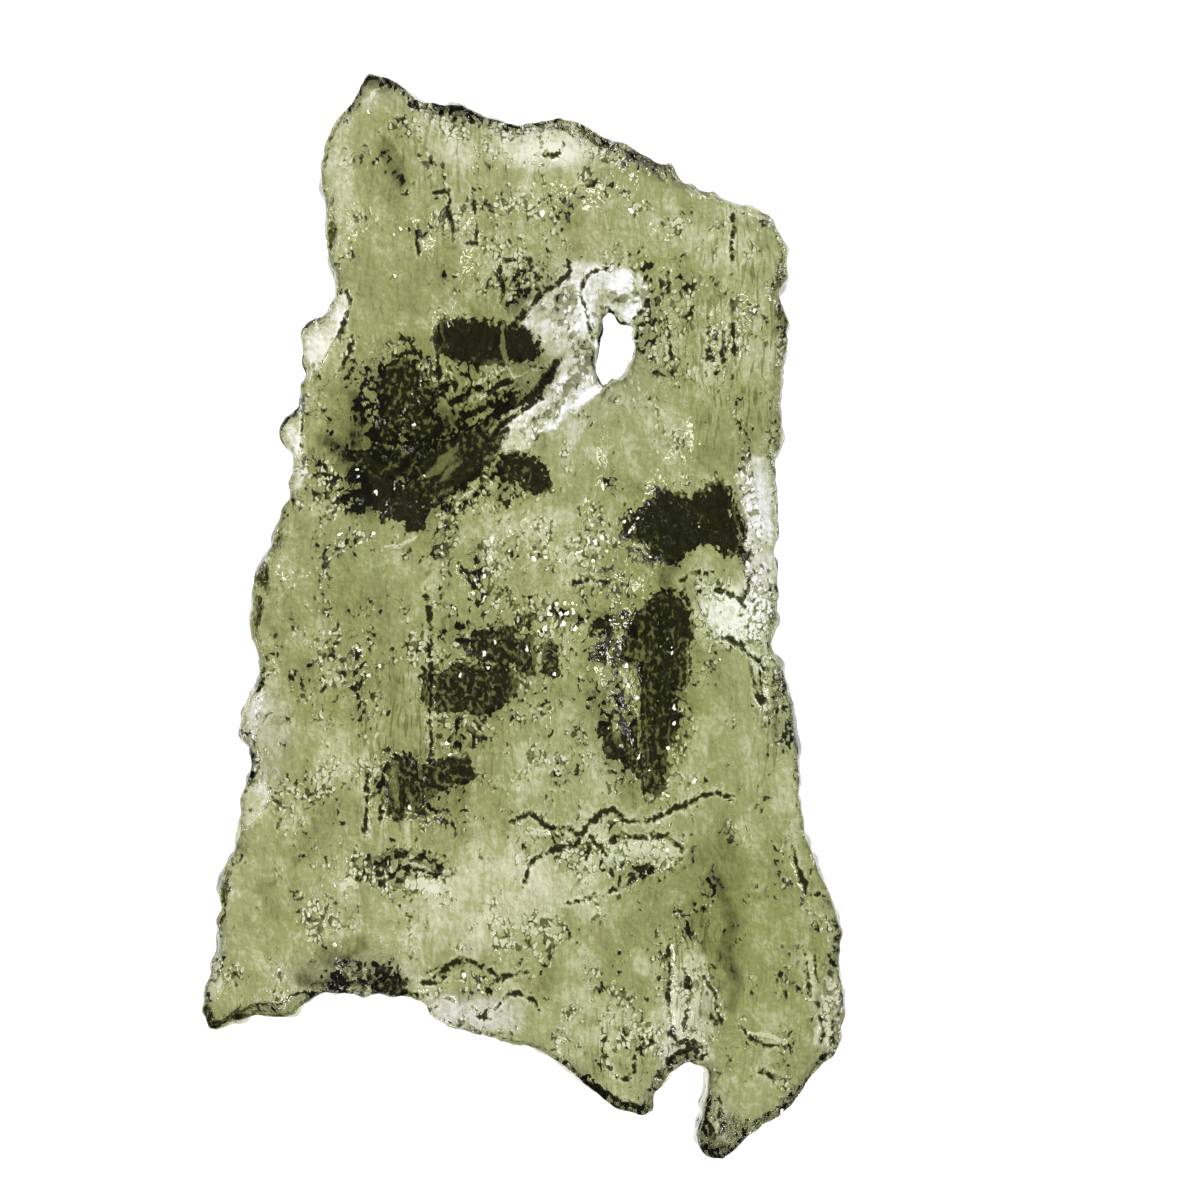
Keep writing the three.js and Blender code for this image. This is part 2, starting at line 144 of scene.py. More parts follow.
# Cloudy noise on the photograph: patch width and height in pixels, seed, layers
CLOUDS = {
    "wander x": (26, 26, 51, 2),
    "wander y": (26, 26, 61, 2),
    "grain warp x": (30, 45, 31, 2),
    "grain warp y": (30, 45, 41, 2),
    "clearness": (34, 95, 71, 3),
    "fine clearness": (12, 20, 75, 2),
    "grit": (24, 30, 81, 3),
    "warmth": (130, 160, 91, 2),
    "rim band": (12, 12, 121, 2),
    "fold bends": (24, 24, 141, 2),
}
CLOUD_PITCH, CLOUD_FADE = 2.1, 1.7

# Flat patches that set off one shade from the next: width in pixels, strength, seed
PLATES = ((34, 0.07, 101), (15, 0.06, 111))
PLATE_SHIFT, PLATE_WANDER = 0.45, 0.3

# Soft borders, in pixels or in shares of an area's size
OVAL_BORDER = (0.55, 1.25)
WANDER = 3.2
DARK_SOFTNESS, LINE_SOFTNESS, PALE_SOFTNESS = 10, 5, 5
SHADOW_BORDER, SPARKLE_BORDER = (-5, 4), (-5, 3)
RIM_LINE_BORDER = (1, 4.5)
RIM_BAND_BORDER, RIM_BAND_WANDER = (7, 12), 3

# How clear the glass looks, from 0 to 1, and what adds to it or takes from it
CLEARNESS, CLEARNESS_CLOUDS, CLEARNESS_FINE_CLOUDS = 0.77, 0.15, 0.08
FOLD_CLEARNESS = 0.3
RIM_BAND_SHADE = 0.16
SHADOW_DEPTH = 0.28
RIM_BAND_ELSEWHERE, SCRATCHED_ELSEWHERE = 0.2, 0.2
GRIT_OF_RIM_BAND, GRIT_CLOUDS = 0.5, 0.9

# The green is warmer towards the left
WARM_CLOUDS, WARM_MIDDLE_X, WARM_REACH, WARM_BORDER = 0.6, 560, 420, (-0.5, 0.7)

# The grain of the finish, by the millimetre
GRAIN_STRETCH, GRAIN_WARP, GRAIN_CRUMPLE = 0.82, 0.12, 0.2
CELLS_PER_MM = 7.5
FLAKES_PER_MM, FLAKE_DETAIL = 6.0, 2.0
SCRATCHES_PER_MM = (8.0, 1.4, 1.0)
FURROWS_PER_MM = 2.1
# How far apart the flakes are read twice, to paint relief shading from the difference
RELIEF_SHADE_SHIFT_MM = (0.045, 0.04, 0.0)

# Soft steps of the relief and the finish: from low, from high, and the values they run between
STEPS = {
    "pit wall": (0.1, 0.48, 1.0, 0.0),
    "flutes where rough": (0.0, 0.7, 0.25, 1.0),
    "relief where thick": (0.0, 1.0, 0.12, 1.0),
    "relief where dark": (-0.4, 0.3, 1.0, 0.35),
    "relief where worn": (0.05, 0.5, 1.0, 0.4),
    "near dark": (-1.0, -0.2, 0.0, 1.0),
    "scratch": (0.56, 0.65, 0.0, 1.0),
    "grain middle": (0.3, 0.5, 1.0, 0.0),
    "grain is bright": (0.66, 0.74, 0.0, 1.0),
    "grain border": (0.42, 0.55, 0.0, 1.0),
    "grain has a gap": (0.4, 0.8, 0.0, 1.0),
    "grain is black": (0.2, 0.26, 1.0, 0.0),
    "bright gain": (0.0, 1.0, 0.42, 0.62),
    "cluster": (0.54, 0.66, 0.0, 1.0),
    "cluster where thick": (0.0, 0.5, 0.6, 1.0),
    "furrows where thin": (0.0, 0.5, 0.5, 0.0),
    "furrow": (0.0, 0.022, 1.0, 0.0),
    "furrow depth": (0.05, 0.75, 0.0, 0.36),
    "lighter where thin": (0.0, 0.6, 0.27, 0.0),
    "dark patch": (-0.4, -0.1, 0.0, 1.0),
    "flakes in dark": (0.4, 0.75, 0.0, 1.0),
    "flakes where rough": (0.2, 0.9, 0.1, 0.3),
    "folds in dark": (0.05, 0.6, 0.03, 0.3),
    "scratch in dark": (0.55, 0.7, 0.0, 1.0),
    "crest_highlight": (-0.15, 0.1, 0.0, 0.36),
    "halo near": (0.2, 0.45, 0.0, 1.0),
    "halo far": (0.5, 0.95, 1.0, 0.0),
    "line": (-0.1, 0.25, 0.15, 1.0),
    "rim line": (0.35, 0.65, 0.45, 0.1),
    "weaker on the belly": (0.0, 1.0, 0.3, 1.0),
    "slopes where thick": (0.0, 0.5, 0.15, 1.0),
    "slopes where dark": (-1.0, 0.0, 1.0, 0.25),
}

# How strongly one part of the finish acts on another
# The painted relief shading, darker scratches, the painted shade in the grains' gaps, and the painted
# highlight beside the dark lines
PAINTED_RELIEF_SHADE, SCRATCH_SHADE, GAP_SHADE, HALO_LIGHT = 0.42, 0.3, 0.6, 0.15
LUCK_MIDDLE, LUCK_OF_CLEARNESS, LUCK_LOST_NEAR_DARK, LUCK_OF_SPARKLES = 0.8, 1.2, 0.35, 0.14
CLUSTER_FLAKES, CLUSTER_NEAR_DARK, CLUSTER_SPARKLES = 1.6, 0.5, 0.4
FURROW_FLAKES = 1.6
DARK_FLAKES, DARK_CELLS = 1.4, 0.9
BRIGHT_IN_DARK, SCRATCHES_IN_DARK = 0.3, 0.12
CREST_HIGHLIGHT_FLAKES = 0.8
LINE_FLAKES, LINE_CELLS = 1.3, 0.5
GRAIN_SLOPES, FLAKE_SLOPES = 0.6, 0.02

# Tiny facets that lean enough to catch the lamps: how often, how large, and only on the back
FACET_TILT = math.radians(42)
FACETS_IN_SPARKLES, FACETS_IN_CLUSTERS = 0.7, 0.12
FACET_SIZE = 0.42
BACK_ONLY = 0.9

# The glass
GLASS_BEND, GLASS_ROUGHNESS = 1.49, 0.04

# Light lost on the way through: the density per metre, times one less the colour
GLASS_CLEARNESS = (0.5, 0.525, 0.12)
GLASS_DENSITY = 300

# The skin's colour from black through dark olive and green to clear
CLEAREST_SHADE = 1.15
SHADE_COLOURS = (
    (0.0, (0.0002, 0.0002, 0.0001)), (0.15, (0.0018, 0.0018, 0.0006)), (0.5, (0.115, 0.126, 0.04)),
    (0.8, (0.32, 0.345, 0.14)), (1.0, (0.68, 0.69, 0.57)), (CLEAREST_SHADE, (1.0, 1.0, 1.0)))
COOL_TINT, WARM_TINT = (0.955, 1.0, 0.965, 1), (1.0, 0.97, 0.92, 1)
GREY_TINT = (0.98, 0.92, 1.36, 1)
WHITE = (1, 1, 1, 1)

# The light table, and a low ring of small lamps round the stone
TABLE_HALF_WIDTH, TABLE_GAP = 1.5, 0.1 * MM
TABLE_GLOW = 1.25
LAMPS = 16
LAMP_RING, LAMP_HEIGHT = 0.3, 0.032
LAMP_SIZE, LAMP_WATTS = 0.036, 0.09
LAMP_RING_TURN = 0.3
LAMP_COLOUR = (1.0, 0.96, 0.86)
ROOM_COLOUR = (0.04, 0.04, 0.04, 1)

# The camera looks straight down, and its frame fits at the height of the stone's middle
LENS_MM, SENSOR_MM = 100, 36
FRAME_HEIGHT = 2.5 * MM
NEAREST_SEEN = 0.005

# Places where the glass is worn to a thin, pale pane with a sharp wall round it:
# thickness in millimetres, softness of the wall on its lower right and upper left side, outline
PANES = {
    "gouge_floor": (0.34, 3, 26, [
        (573, 256), (600, 262), (640, 268), (651, 290), (646, 304), (632, 317), (634, 332), (630, 362),
        (612, 382), (595, 394), (582, 404), (573, 404), (556, 428), (538, 430), (530, 447), (503, 453),
        (495, 436), (505, 417), (524, 403), (541, 392), (553, 368), (560, 350), (545, 352), (537, 338),
        (520, 322), (530, 302), (552, 286), (566, 274)]),
    "upper_lobe": (0.42, 3, 6, [
        (346, 290), (345, 308), (338, 326), (327, 346), (316, 366), (305, 380), (280, 370), (285, 310),
        (320, 290)]),
    "round_lobe": (0.4, 2, 2, [(299, 396), (299, 452), (262, 455), (262, 396)]),
    "third_lobe": (0.45, 3, 3, [(301, 452), (305, 470), (298, 487), (288, 492), (272, 470), (285, 446)]),
    "lower_lobe": (0.55, 3, 5, [
        (262, 690), (256, 715), (254, 738), (247, 756), (225, 750), (230, 700)]),
    "low_left_lobe": (0.55, 4, 6, [
        (262, 783), (268, 796), (262, 812), (248, 828), (225, 830), (228, 785)]),
    "foot_lobe": (0.5, 4, 6, [(222, 940), (218, 965), (222, 985), (214, 1000), (195, 990), (200, 940)]),
    "crackled": (0.95, 4, 6, [
        (700, 574), (722, 592), (745, 601), (772, 604), (790, 630), (778, 655), (764, 664), (748, 654),
        (730, 640), (716, 634), (703, 612), (694, 590)]),
    "flange": (0.5, 3, 4, [
        (745, 452), (765, 455), (790, 446), (790, 560), (785, 600), (770, 604), (756, 602), (749, 580),
        (747, 545), (749, 520), (741, 500), (737, 480)]),
    "top_right_lobe": (0.7, 3, 3, [(736, 206), (760, 216), (782, 227), (790, 215), (780, 195), (740, 195)]),
    "top_lobe": (0.6, 3, 3, [(689, 188), (698, 196), (716, 195), (735, 204), (730, 180), (690, 178)]),
}

# Sharp dark lines, cut as grooves into the back and painted dark as the grooves' shade: half of their
# width, and their points
LINES = {
    "main_ledge": (1.9, [
        (512, 821), (530, 814), (540, 817), (550, 827), (566, 826), (580, 833), (594, 818), (603, 808),
        (613, 807), (623, 819), (654, 819), (666, 811), (679, 803), (699, 795), (715, 791), (730, 795)]),
    "second_ledge": (1.6, [(525, 881), (528, 866), (540, 856), (558, 848), (578, 840), (586, 831)]),
    "little_arch": (2.0, [(586, 858), (588, 845), (593, 836), (599, 846), (606, 852)]),
    "lens_top": (1.6, [(603, 841), (619, 836), (641, 835), (666, 833), (681, 846)]),
    "lens_foot": (1.3, [(666, 861), (641, 871), (616, 886), (596, 893), (566, 903)]),
    "flange_crack": (2.0, [(714, 592), (730, 594), (742, 597), (746, 604), (741, 613)]),
    "flange_fork": (2.2, [(753, 572), (750, 585), (746, 602)]),
    "flange_nicks": (1.6, [(680, 581), (692, 574), (712, 571)]),
    "flange_nick_below": (1.6, [(697, 577), (707, 584)]),
    "flange_foot": (1.8, [(718, 638), (728, 637), (738, 644), (750, 655), (760, 661), (764, 675)]),
    "flange_side": (1.4, [(738, 500), (741, 520), (746, 535), (742, 550)]),
    "right_flute": (1.6, [(752, 668), (756, 692), (762, 706)]),
    "right_flute_beside": (1.6, [(760, 672), (763, 700), (767, 714)]),
    "cross_crack": (1.3, [(562, 585), (575, 583), (590, 578), (600, 584), (614, 580)]),
    "slanted_crack": (1.9, [(458, 562), (466, 573), (475, 588)]),
    "lens_shadow": (2.0, [(396, 846), (406, 850), (416, 847)]),
    "crackle": (1.3, [(358, 866), (372, 872), (392, 872), (405, 867), (424, 871), (438, 877)]),
    "low_arc": (1.6, [
        (432, 972), (447, 965), (455, 958), (468, 956), (480, 962), (492, 965), (500, 975), (528, 966)]),
    "lowest_arc": (1.4, [(500, 1000), (508, 991), (520, 988), (532, 992), (540, 1003)]),
    "edge_arc": (1.1, [(470, 1004), (485, 1012), (498, 1004)]),
    "right_scratch": (1.0, [(789, 842), (793, 860), (798, 875), (803, 888), (812, 889), (822, 886)]),
    "tongue_crack": (1.4, [(737, 1020), (750, 1030), (760, 1035), (775, 1034)]),
    "tongue_nick": (1.8, [(755, 1057), (764, 1062), (768, 1071)]),
    "pane_curl": (1.3, [
        (608, 265), (598, 266), (590, 272), (584, 280), (582, 290), (587, 312), (589, 324), (594, 341)]),
    "pane_bank": (1.9, [
        (569, 258), (566, 273), (558, 281), (544, 287), (533, 296), (525, 308), (517, 316), (508, 322)]),
    "swirl_outer": (1.1, [(507, 262), (516, 258), (528, 257), (531, 266), (535, 277)]),
    "swirl_inner": (1.1, [(509, 285), (513, 276), (520, 270), (530, 269)]),
    "swirl_foot": (1.1, [(514, 285), (525, 278), (541, 275)]),
    "swirl_low": (1.1, [(505, 305), (514, 293), (525, 288), (540, 285)]),
    "swirl_left": (1.1, [(498, 305), (503, 287), (498, 272), (501, 260)]),
    "hole_scallop": (1.3, [(602, 305), (609, 306), (613, 311), (617, 322), (622, 326), (628, 322)]),
    "bank_corner": (2.0, [(650, 296), (643, 308), (633, 317)]),
    "bank_streak": (3.0, [
        (560, 350), (553, 362), (548, 372), (540, 383), (530, 393), (518, 402), (508, 408)]),
    "bank_streak_low": (1.8, [(541, 394), (528, 404), (512, 413), (500, 420), (493, 432)]),
    "bank_streak_high": (2.2, [(520, 395), (505, 402), (492, 412), (482, 424)]),
    "hollow_side": (1.8, [(437, 318), (438, 345), (437, 378), (441, 394), (449, 404)]),
    "hollow_flow": (1.5, [(447, 362), (452, 378), (455, 396)]),
    "flow_high": (1.5, [(470, 398), (485, 390), (500, 381), (520, 374)]),
    "flow_low": (1.4, [(468, 412), (485, 402), (503, 394), (522, 388)]),
    "left_cleft": (2.3, [(346, 306), (343, 320), (335, 337)]),
    "left_cleft_low": (2.6, [(351, 335), (347, 350), (342, 362), (336, 370)]),
    "left_wall": (1.2, [(299, 396), (299, 425), (298, 452)]),
    "left_flute": (1.2, [(345, 288), (346, 300)]),
    "high_crack": (1.3, [(437, 198), (449, 196), (451, 207), (449, 217), (453, 228), (455, 242)]),
    "high_crack_beside": (1.1, [(475, 194), (476, 215), (475, 244), (462, 243)]),
    "high_loop": (1.3, [(463, 222), (464, 214), (470, 210)]),
    "dimple_rim": (1.4, [(542, 147), (545, 156), (553, 159), (561, 155), (565, 147)]),
    "long_flute": (1.5, [(428, 585), (431, 640), (432, 700), (433, 760)]),
    "middle_flute": (1.2, [(418, 228), (419, 254)]),
    "low_flute": (1.6, [(367, 755), (368, 800), (366, 836)]),
    "low_flute_beside": (1.4, [(383, 770), (386, 800), (382, 822)]),
    "striated_left": (1.8, [(668, 940), (668, 985), (670, 1030), (678, 1038)]),
    "striated_middle": (1.5, [(684, 960), (686, 1000), (682, 1030)]),
    "striated_right": (1.6, [(700, 968), (712, 985), (720, 1012)]),
    "notch_bank": (2.0, [(664, 1064), (670, 1054), (680, 1046), (692, 1043), (703, 1050)]),
    "notch_bank_high": (1.5, [(668, 1040), (680, 1037), (694, 1035), (704, 1043)]),
    "notch_bank_low": (1.8, [(678, 1062), (690, 1054), (700, 1052)]),
    "foot_flute": (1.6, [(642, 1025), (643, 1050)]),
    "foot_flute_beside": (1.4, [(651, 1028), (650, 1045)]),
    "foot_loop": (1.2, [(604, 1030), (605, 1055), (610, 1070), (622, 1076), (633, 1068), (638, 1045)]),
    "foot_margin": (1.3, [(592, 1078), (610, 1092), (628, 1100), (642, 1106)]),
    "right_foot_left": (1.3, [(800, 945), (802, 970), (803, 990)]),
    "right_foot_middle": (1.2, [(810, 950), (811, 972)]),
    "right_foot_bar": (1.3, [(817, 1012), (818, 1036)]),
    "right_foot_bar_beside": (1.3, [(828, 1012), (829, 1036)]),
    "right_foot_step": (1.4, [(806, 1008), (822, 1011)]),
    "right_foot_edge": (1.6, [(838, 985), (839, 1003)]),
    "tongue_tip_left": (1.4, [(706, 1085), (707, 1110), (712, 1130)]),
    "tongue_tip_right": (1.3, [(716, 1085), (718, 1108), (716, 1125)]),
    "top_nick": (1.6, [(450, 118), (455, 126), (453, 136)]),
    "top_nick_right": (1.4, [(470, 118), (474, 126)]),
    "top_fork": (1.6, [(486, 122), (494, 124)]),
    "top_fork_right": (1.6, [(502, 124), (507, 132), (504, 142)]),
    "upright_a": (1.2, [(661, 268), (661, 296)]),
    "upright_b": (1.1, [(669, 270), (669, 294)]),
    "upright_c": (1.3, [(691, 306), (692, 330)]),
    "upright_d": (1.2, [(708, 312), (709, 345), (707, 362)]),
    "upright_e": (1.1, [(714, 330), (713, 360)]),
    "upright_f": (1.6, [(722, 330), (723, 368)]),
    "upright_g": (1.6, [(733, 326), (734, 345), (736, 366)]),
    "upright_h": (1.1, [(670, 330), (671, 360)]),
    "upright_i": (1.0, [(733, 214), (732, 262)]),
    "foot_edge": (1.7, [
        (305, 988), (318, 992), (335, 990), (350, 994), (372, 992), (392, 994), (405, 990), (430, 990)]),
    "lip_nick": (1.2, [(420, 1000), (430, 1008), (436, 1004)]),
    "lip_nick_right": (1.4, [(449, 995), (455, 1000)]),
    "lip_line": (1.3, [(478, 1014), (492, 1015)]),
    "low_bank": (1.6, [(415, 980), (425, 976), (440, 977), (450, 968)]),
    "low_curl": (1.1, [(403, 905), (411, 913), (413, 926)]),
}

# Dark patches, painted near black as shade, as chains of round blots: x, y, radius
PAINTED_DARK_PATCHES = {
    "upper_hollow": [(453, 336, 16), (475, 338, 20), (493, 338, 17)],
    "upper_hollow_end": [(514, 338, 14), (524, 342, 12)],
    "left_hollow": [(388, 384, 10), (402, 378, 13), (412, 396, 18), (402, 410, 17), (420, 424, 13)],
    "left_hollow_foot": [(388, 428, 7), (384, 444, 4)],
    "streak": [
        (497, 424, 8), (484, 436, 12), (462, 455, 18), (442, 470, 20), (425, 486, 16), (400, 506, 13)],
    "streak_fork": [(362, 458, 5), (376, 472, 9), (383, 495, 9), (386, 515, 6)],
    "streak_end": [(512, 466, 10), (528, 470, 11), (538, 480, 9)],
    "streak_foot": [(415, 525, 6), (418, 505, 7)],
    "middle_hollow_top": [(488, 646, 11), (502, 646, 14)],
    "middle_hollow": [(444, 692, 15), (462, 688, 20), (484, 690, 19), (500, 684, 14)],
    "band_top": [(662, 604, 9), (676, 604, 10), (678, 640, 11), (674, 676, 10)],
    "band_middle": [(650, 642, 12), (656, 680, 11), (660, 715, 13), (658, 740, 10)],
    "band_foot": [(644, 730, 9), (650, 755, 12), (654, 778, 9)],
    "band_arm": [(596, 628, 3), (622, 622, 4), (648, 622, 8)],
    "band_arm_low": [(606, 652, 5), (628, 650, 7), (648, 650, 10)],
    "band_side": [(606, 730, 5), (612, 745, 6), (630, 742, 7), (634, 758, 6)],
    "low_hollow": [(402, 768, 9), (414, 780, 12), (416, 798, 8)],
    "low_hollow_right": [(432, 776, 10), (452, 770, 10), (464, 770, 7)],
    "low_hollow_side": [(395, 790, 4), (398, 812, 3)],
    "foot_edge": [(380, 984, 2), (394, 984, 4), (404, 985, 2)],
    "speck_a": [(527, 648, 5), (527, 665, 6)],
    "speck_b": [(552, 650, 4), (552, 668, 4)],
}

# Soft olive shadows painted darker, pale crests and facets painted lighter as highlights, and a few pale
# spots of thin glass, as chains of round blots: x, y, radius
SHADOWS = {
    "lens": [(378, 860, 4), (395, 852, 6), (412, 850, 6), (430, 858, 5), (440, 870, 3)],
    "low_olive": [(325, 950, 8), (345, 947, 12), (362, 938, 8)],
    "foot_edge": [(300, 977, 4), (325, 980, 5), (345, 980, 3), (385, 976, 5), (402, 978, 3)],
    "gouge_bank": [
        (562, 352, 4), (552, 370, 6), (538, 388, 6), (518, 402, 6), (498, 416, 7), (485, 430, 7)],
    "tip": [(370, 86, 7), (385, 92, 9)],
    "top_grey": [(440, 110, 6), (455, 112, 8), (470, 115, 6)],
    "tongue": [
        (710, 868, 4), (722, 890, 6), (730, 918, 5), (721, 948, 7), (736, 972, 5), (728, 1000, 5)],
    "hollow_foot": [(396, 462, 12), (374, 480, 9), (352, 470, 5)],
    "hollow_flow": [(446, 424, 8), (466, 410, 7), (486, 402, 5)],
    "left_of_hollow": [(352, 395, 4), (360, 420, 6), (350, 440, 5)],
    "pane_folds": [(562, 332, 2), (575, 336, 3), (590, 345, 2)],
    "pane_fold_low": [(560, 398, 3), (548, 412, 4), (530, 420, 3)],
    "pane_fold_high": [(572, 285, 2), (566, 300, 3), (556, 312, 2)],
    "pane_edge": [(600, 300, 2), (606, 318, 3), (600, 336, 2)],
    "notch": [(672, 1056, 4), (690, 1050, 3)],
    "foot_margin": [(595, 1085, 2), (620, 1102, 3), (645, 1102, 3)],
    "tongue_tip": [(706, 1125, 6), (715, 1140, 7), (730, 1140, 5)],
    "arc_band": [(445, 968, 2), (456, 960, 3), (470, 957, 3), (484, 963, 3)],
    "column_spot": [(700, 1006, 4), (710, 1006, 4)],
    "ridge": [(385, 150, 7), (398, 168, 9), (402, 190, 5)],
    "flange_side": [(740, 492, 3), (744, 520, 4), (742, 556, 3)],
    "pane_grey": [(612, 292, 4), (622, 296, 5), (634, 292, 4)],
    "swirl": [(515, 302, 4), (525, 290, 3)],
    "right_of_band": [(676, 560, 5), (664, 580, 7)],
    "left_flow": [(320, 438, 6), (342, 452, 7), (360, 462, 6)],
    "left_flow_foot": [(352, 512, 6), (370, 500, 7)],
    "cross_band": [(560, 612, 4), (585, 618, 5), (604, 614, 5)],
    "corner": [(640, 168, 4), (655, 176, 4)],
}
PALE_SPOTS = {
    "hollow_rib": [(501, 322, 2), (503, 345, 3), (507, 362, 1.5)],
    "hollow_fork": [(507, 362, 1.2), (515, 374, 1.2), (530, 368, 1.2), (545, 367, 1)],
    "flow_a": [(478, 382, 1.5), (492, 373, 1.8), (504, 365, 1.5)],
    "flow_b": [(484, 432, 1.2), (500, 418, 1.8), (515, 405, 2.2), (530, 400, 1.2)],
    "flow_c": [(448, 362, 1), (452, 385, 1.6), (450, 400, 1)],
    "flow_d": [(470, 398, 1.2), (490, 388, 1.4), (508, 383, 1.2)],
    "flow_e": [(455, 418, 1), (462, 402, 1.6), (466, 380, 1)],
    "streak_rib": [(440, 520, 1), (456, 505, 2), (470, 490, 2), (480, 482, 1)],
    "streak_rib_low": [(385, 545, 1), (400, 548, 1.8), (412, 540, 1.8), (422, 530, 1)],
    "band_rib": [(618, 668, 1.2), (625, 682, 1.6), (630, 697, 1.2)],
    "band_rib_low": [(636, 706, 1), (640, 728, 1.6), (638, 750, 1)],
    "band_edge": [(686, 640, 1), (688, 665, 1.5), (686, 690, 1)],
    "top_facet": [(412, 97, 3), (418, 102, 4)],
    "top_facet_right": [(427, 101, 4), (431, 108, 5)],
    "tip_facet": [(374, 108, 2), (378, 98, 1.5), (388, 92, 1)],
    "foot_facet": [(350, 973, 3), (365, 970, 5), (376, 975, 3)],
    "foot_facet_low": [(352, 985, 1.5), (370, 983, 2.5)],
    "column_left": [(674, 960, 1.5), (673, 1000, 2.2), (676, 1030, 1.5)],
    "column_middle": [(690, 968, 2), (694, 990, 4), (690, 1015, 4)],
    "column_right": [(703, 970, 1.5), (712, 985, 2.5), (718, 1005, 1.5)],
    "notch_white": [(690, 1029, 3), (700, 1033, 3)],
    "right_foot_a": [(812, 1018, 2.5), (812, 1034, 2.5)],
    "right_foot_b": [(823, 1014, 2), (824, 1034, 2)],
    "right_foot_c": [(833, 1010, 2), (836, 1032, 3)],
    "tongue_light": [(745, 1024, 1.5), (765, 1025, 2.5), (782, 1030, 1.5)],
    "arc_foot": [(398, 884, 3), (425, 883, 5), (438, 889, 3)],
    "lens_grain": [(345, 884, 3), (352, 876, 3), (358, 882, 3)],
    "comb_a": [(624, 374, 0.8), (626, 390, 0.8)],
    "comb_b": [(631, 372, 0.8), (633, 390, 0.8)],
    "comb_c": [(638, 372, 0.8), (640, 388, 0.8)],
    "dimple": [(552, 148, 4), (556, 150, 5)],
    "hole_foot": [(598, 385, 4), (588, 395, 5), (574, 408, 4)],
    "hole_side": [(597, 335, 2), (597, 362, 3)],
    "ledge_grains": [(532, 827, 3), (545, 832, 4), (558, 833, 3)],
    "corner_facet": [(672, 170, 3), (676, 177, 2)],
    "right_lip": [(788, 238, 2), (790, 262, 3), (788, 284, 2)],
}

# The outline of the smooth, dark patch on the right, painted near black as shade
SMOOTH_PATCH = [
    (628, 516), (641, 509), (655, 506), (660, 492), (672, 494), (684, 498), (693, 500), (705, 492),
    (710, 483), (721, 483), (730, 493), (735, 516), (737, 534), (736, 548), (723, 550), (714, 543),
    (703, 543), (693, 548), (677, 555), (669, 558), (654, 550), (643, 539), (629, 534)]

# How rough the skin is, from 0 to 1, in oval areas: x, y, half width, half height, strength
CALM_ROUGHNESS = 0.25
ROUGH_AREAS = {
    "left_hollow": (400, 400, 52, 66, 1.0),
    "flow_lines": (478, 388, 48, 42, 0.8),
    "left_of_streak": (340, 488, 40, 52, 0.75),
    "streak": (470, 470, 75, 60, 0.7),
    "middle": (520, 640, 64, 64, 0.85),
    "right_band": (645, 690, 52, 115, 1.0),
    "middle_hollow": (462, 690, 50, 78, 0.95),
    "low_hollow": (420, 785, 58, 42, 0.95),
    "right_upper": (725, 325, 75, 60, 0.5),
    "right_of_hole": (662, 320, 32, 70, 0.6),
    "upper_middle": (500, 232, 70, 42, 0.55),
    "swirl": (525, 275, 45, 40, 0.5),
    "left_middle": (340, 690, 62, 80, 0.5),
    "left_low": (300, 790, 50, 40, 0.5),
    "above_ledge": (545, 740, 60, 60, 0.5),
    "below_ledge": (620, 855, 75, 30, 0.7),
    "striated": (690, 960, 30, 95, 0.5),
    "right_foot": (822, 985, 22, 62, 0.5),
    "foot_middle": (620, 1020, 52, 60, 0.5),
    "arc": (400, 868, 62, 24, 0.9),
    "foot_edge": (365, 975, 50, 22, 0.9),
    "smooth_patch_side": (640, 545, 40, 25, 0.7),
    "flange_foot": (735, 620, 48, 40, 0.6),
    "right_edge": (775, 710, 20, 90, 0.6),
    "top_edge": (480, 125, 90, 24, 0.8),
    "top_edge_right": (630, 155, 60, 18, 0.8),
    "smooth_patch": (690, 522, 46, 28, -0.8),
    "smooth_band": (666, 690, 14, 80, -0.5),
    "smooth_hollow": (470, 340, 28, 16, -0.4),
    "smooth_streak": (448, 468, 30, 20, -0.5),
    "smooth_flange": (762, 520, 20, 60, -0.6),
    "middle_band": (490, 545, 80, 50, 0.55),
    "middle_right": (590, 560, 45, 50, 0.65),
    "pane_grains": (566, 297, 16, 14, 0.9),
    "pane_grains_middle": (588, 365, 20, 22, 0.8),
    "pane_grains_low": (528, 430, 14, 12, 0.9),
    "pane_pebbles": (620, 292, 20, 10, 0.9),
    "low_middle_grains": (530, 930, 50, 30, 0.5),
    "left_foot_grains": (320, 915, 34, 40, 0.5),
    "smooth_left": (388, 270, 60, 76, -0.9),
    "smooth_right": (650, 212, 85, 30, -0.6),
    "smooth_middle": (610, 440, 60, 36, -0.5),
    "smooth_column": (725, 730, 32, 75, -0.6),
    "smooth_foot": (265, 905, 45, 75, -0.6),
    "smooth_tongue": (755, 900, 42, 120, -0.4),
    "smooth_low": (520, 890, 45, 34, -0.4),
}
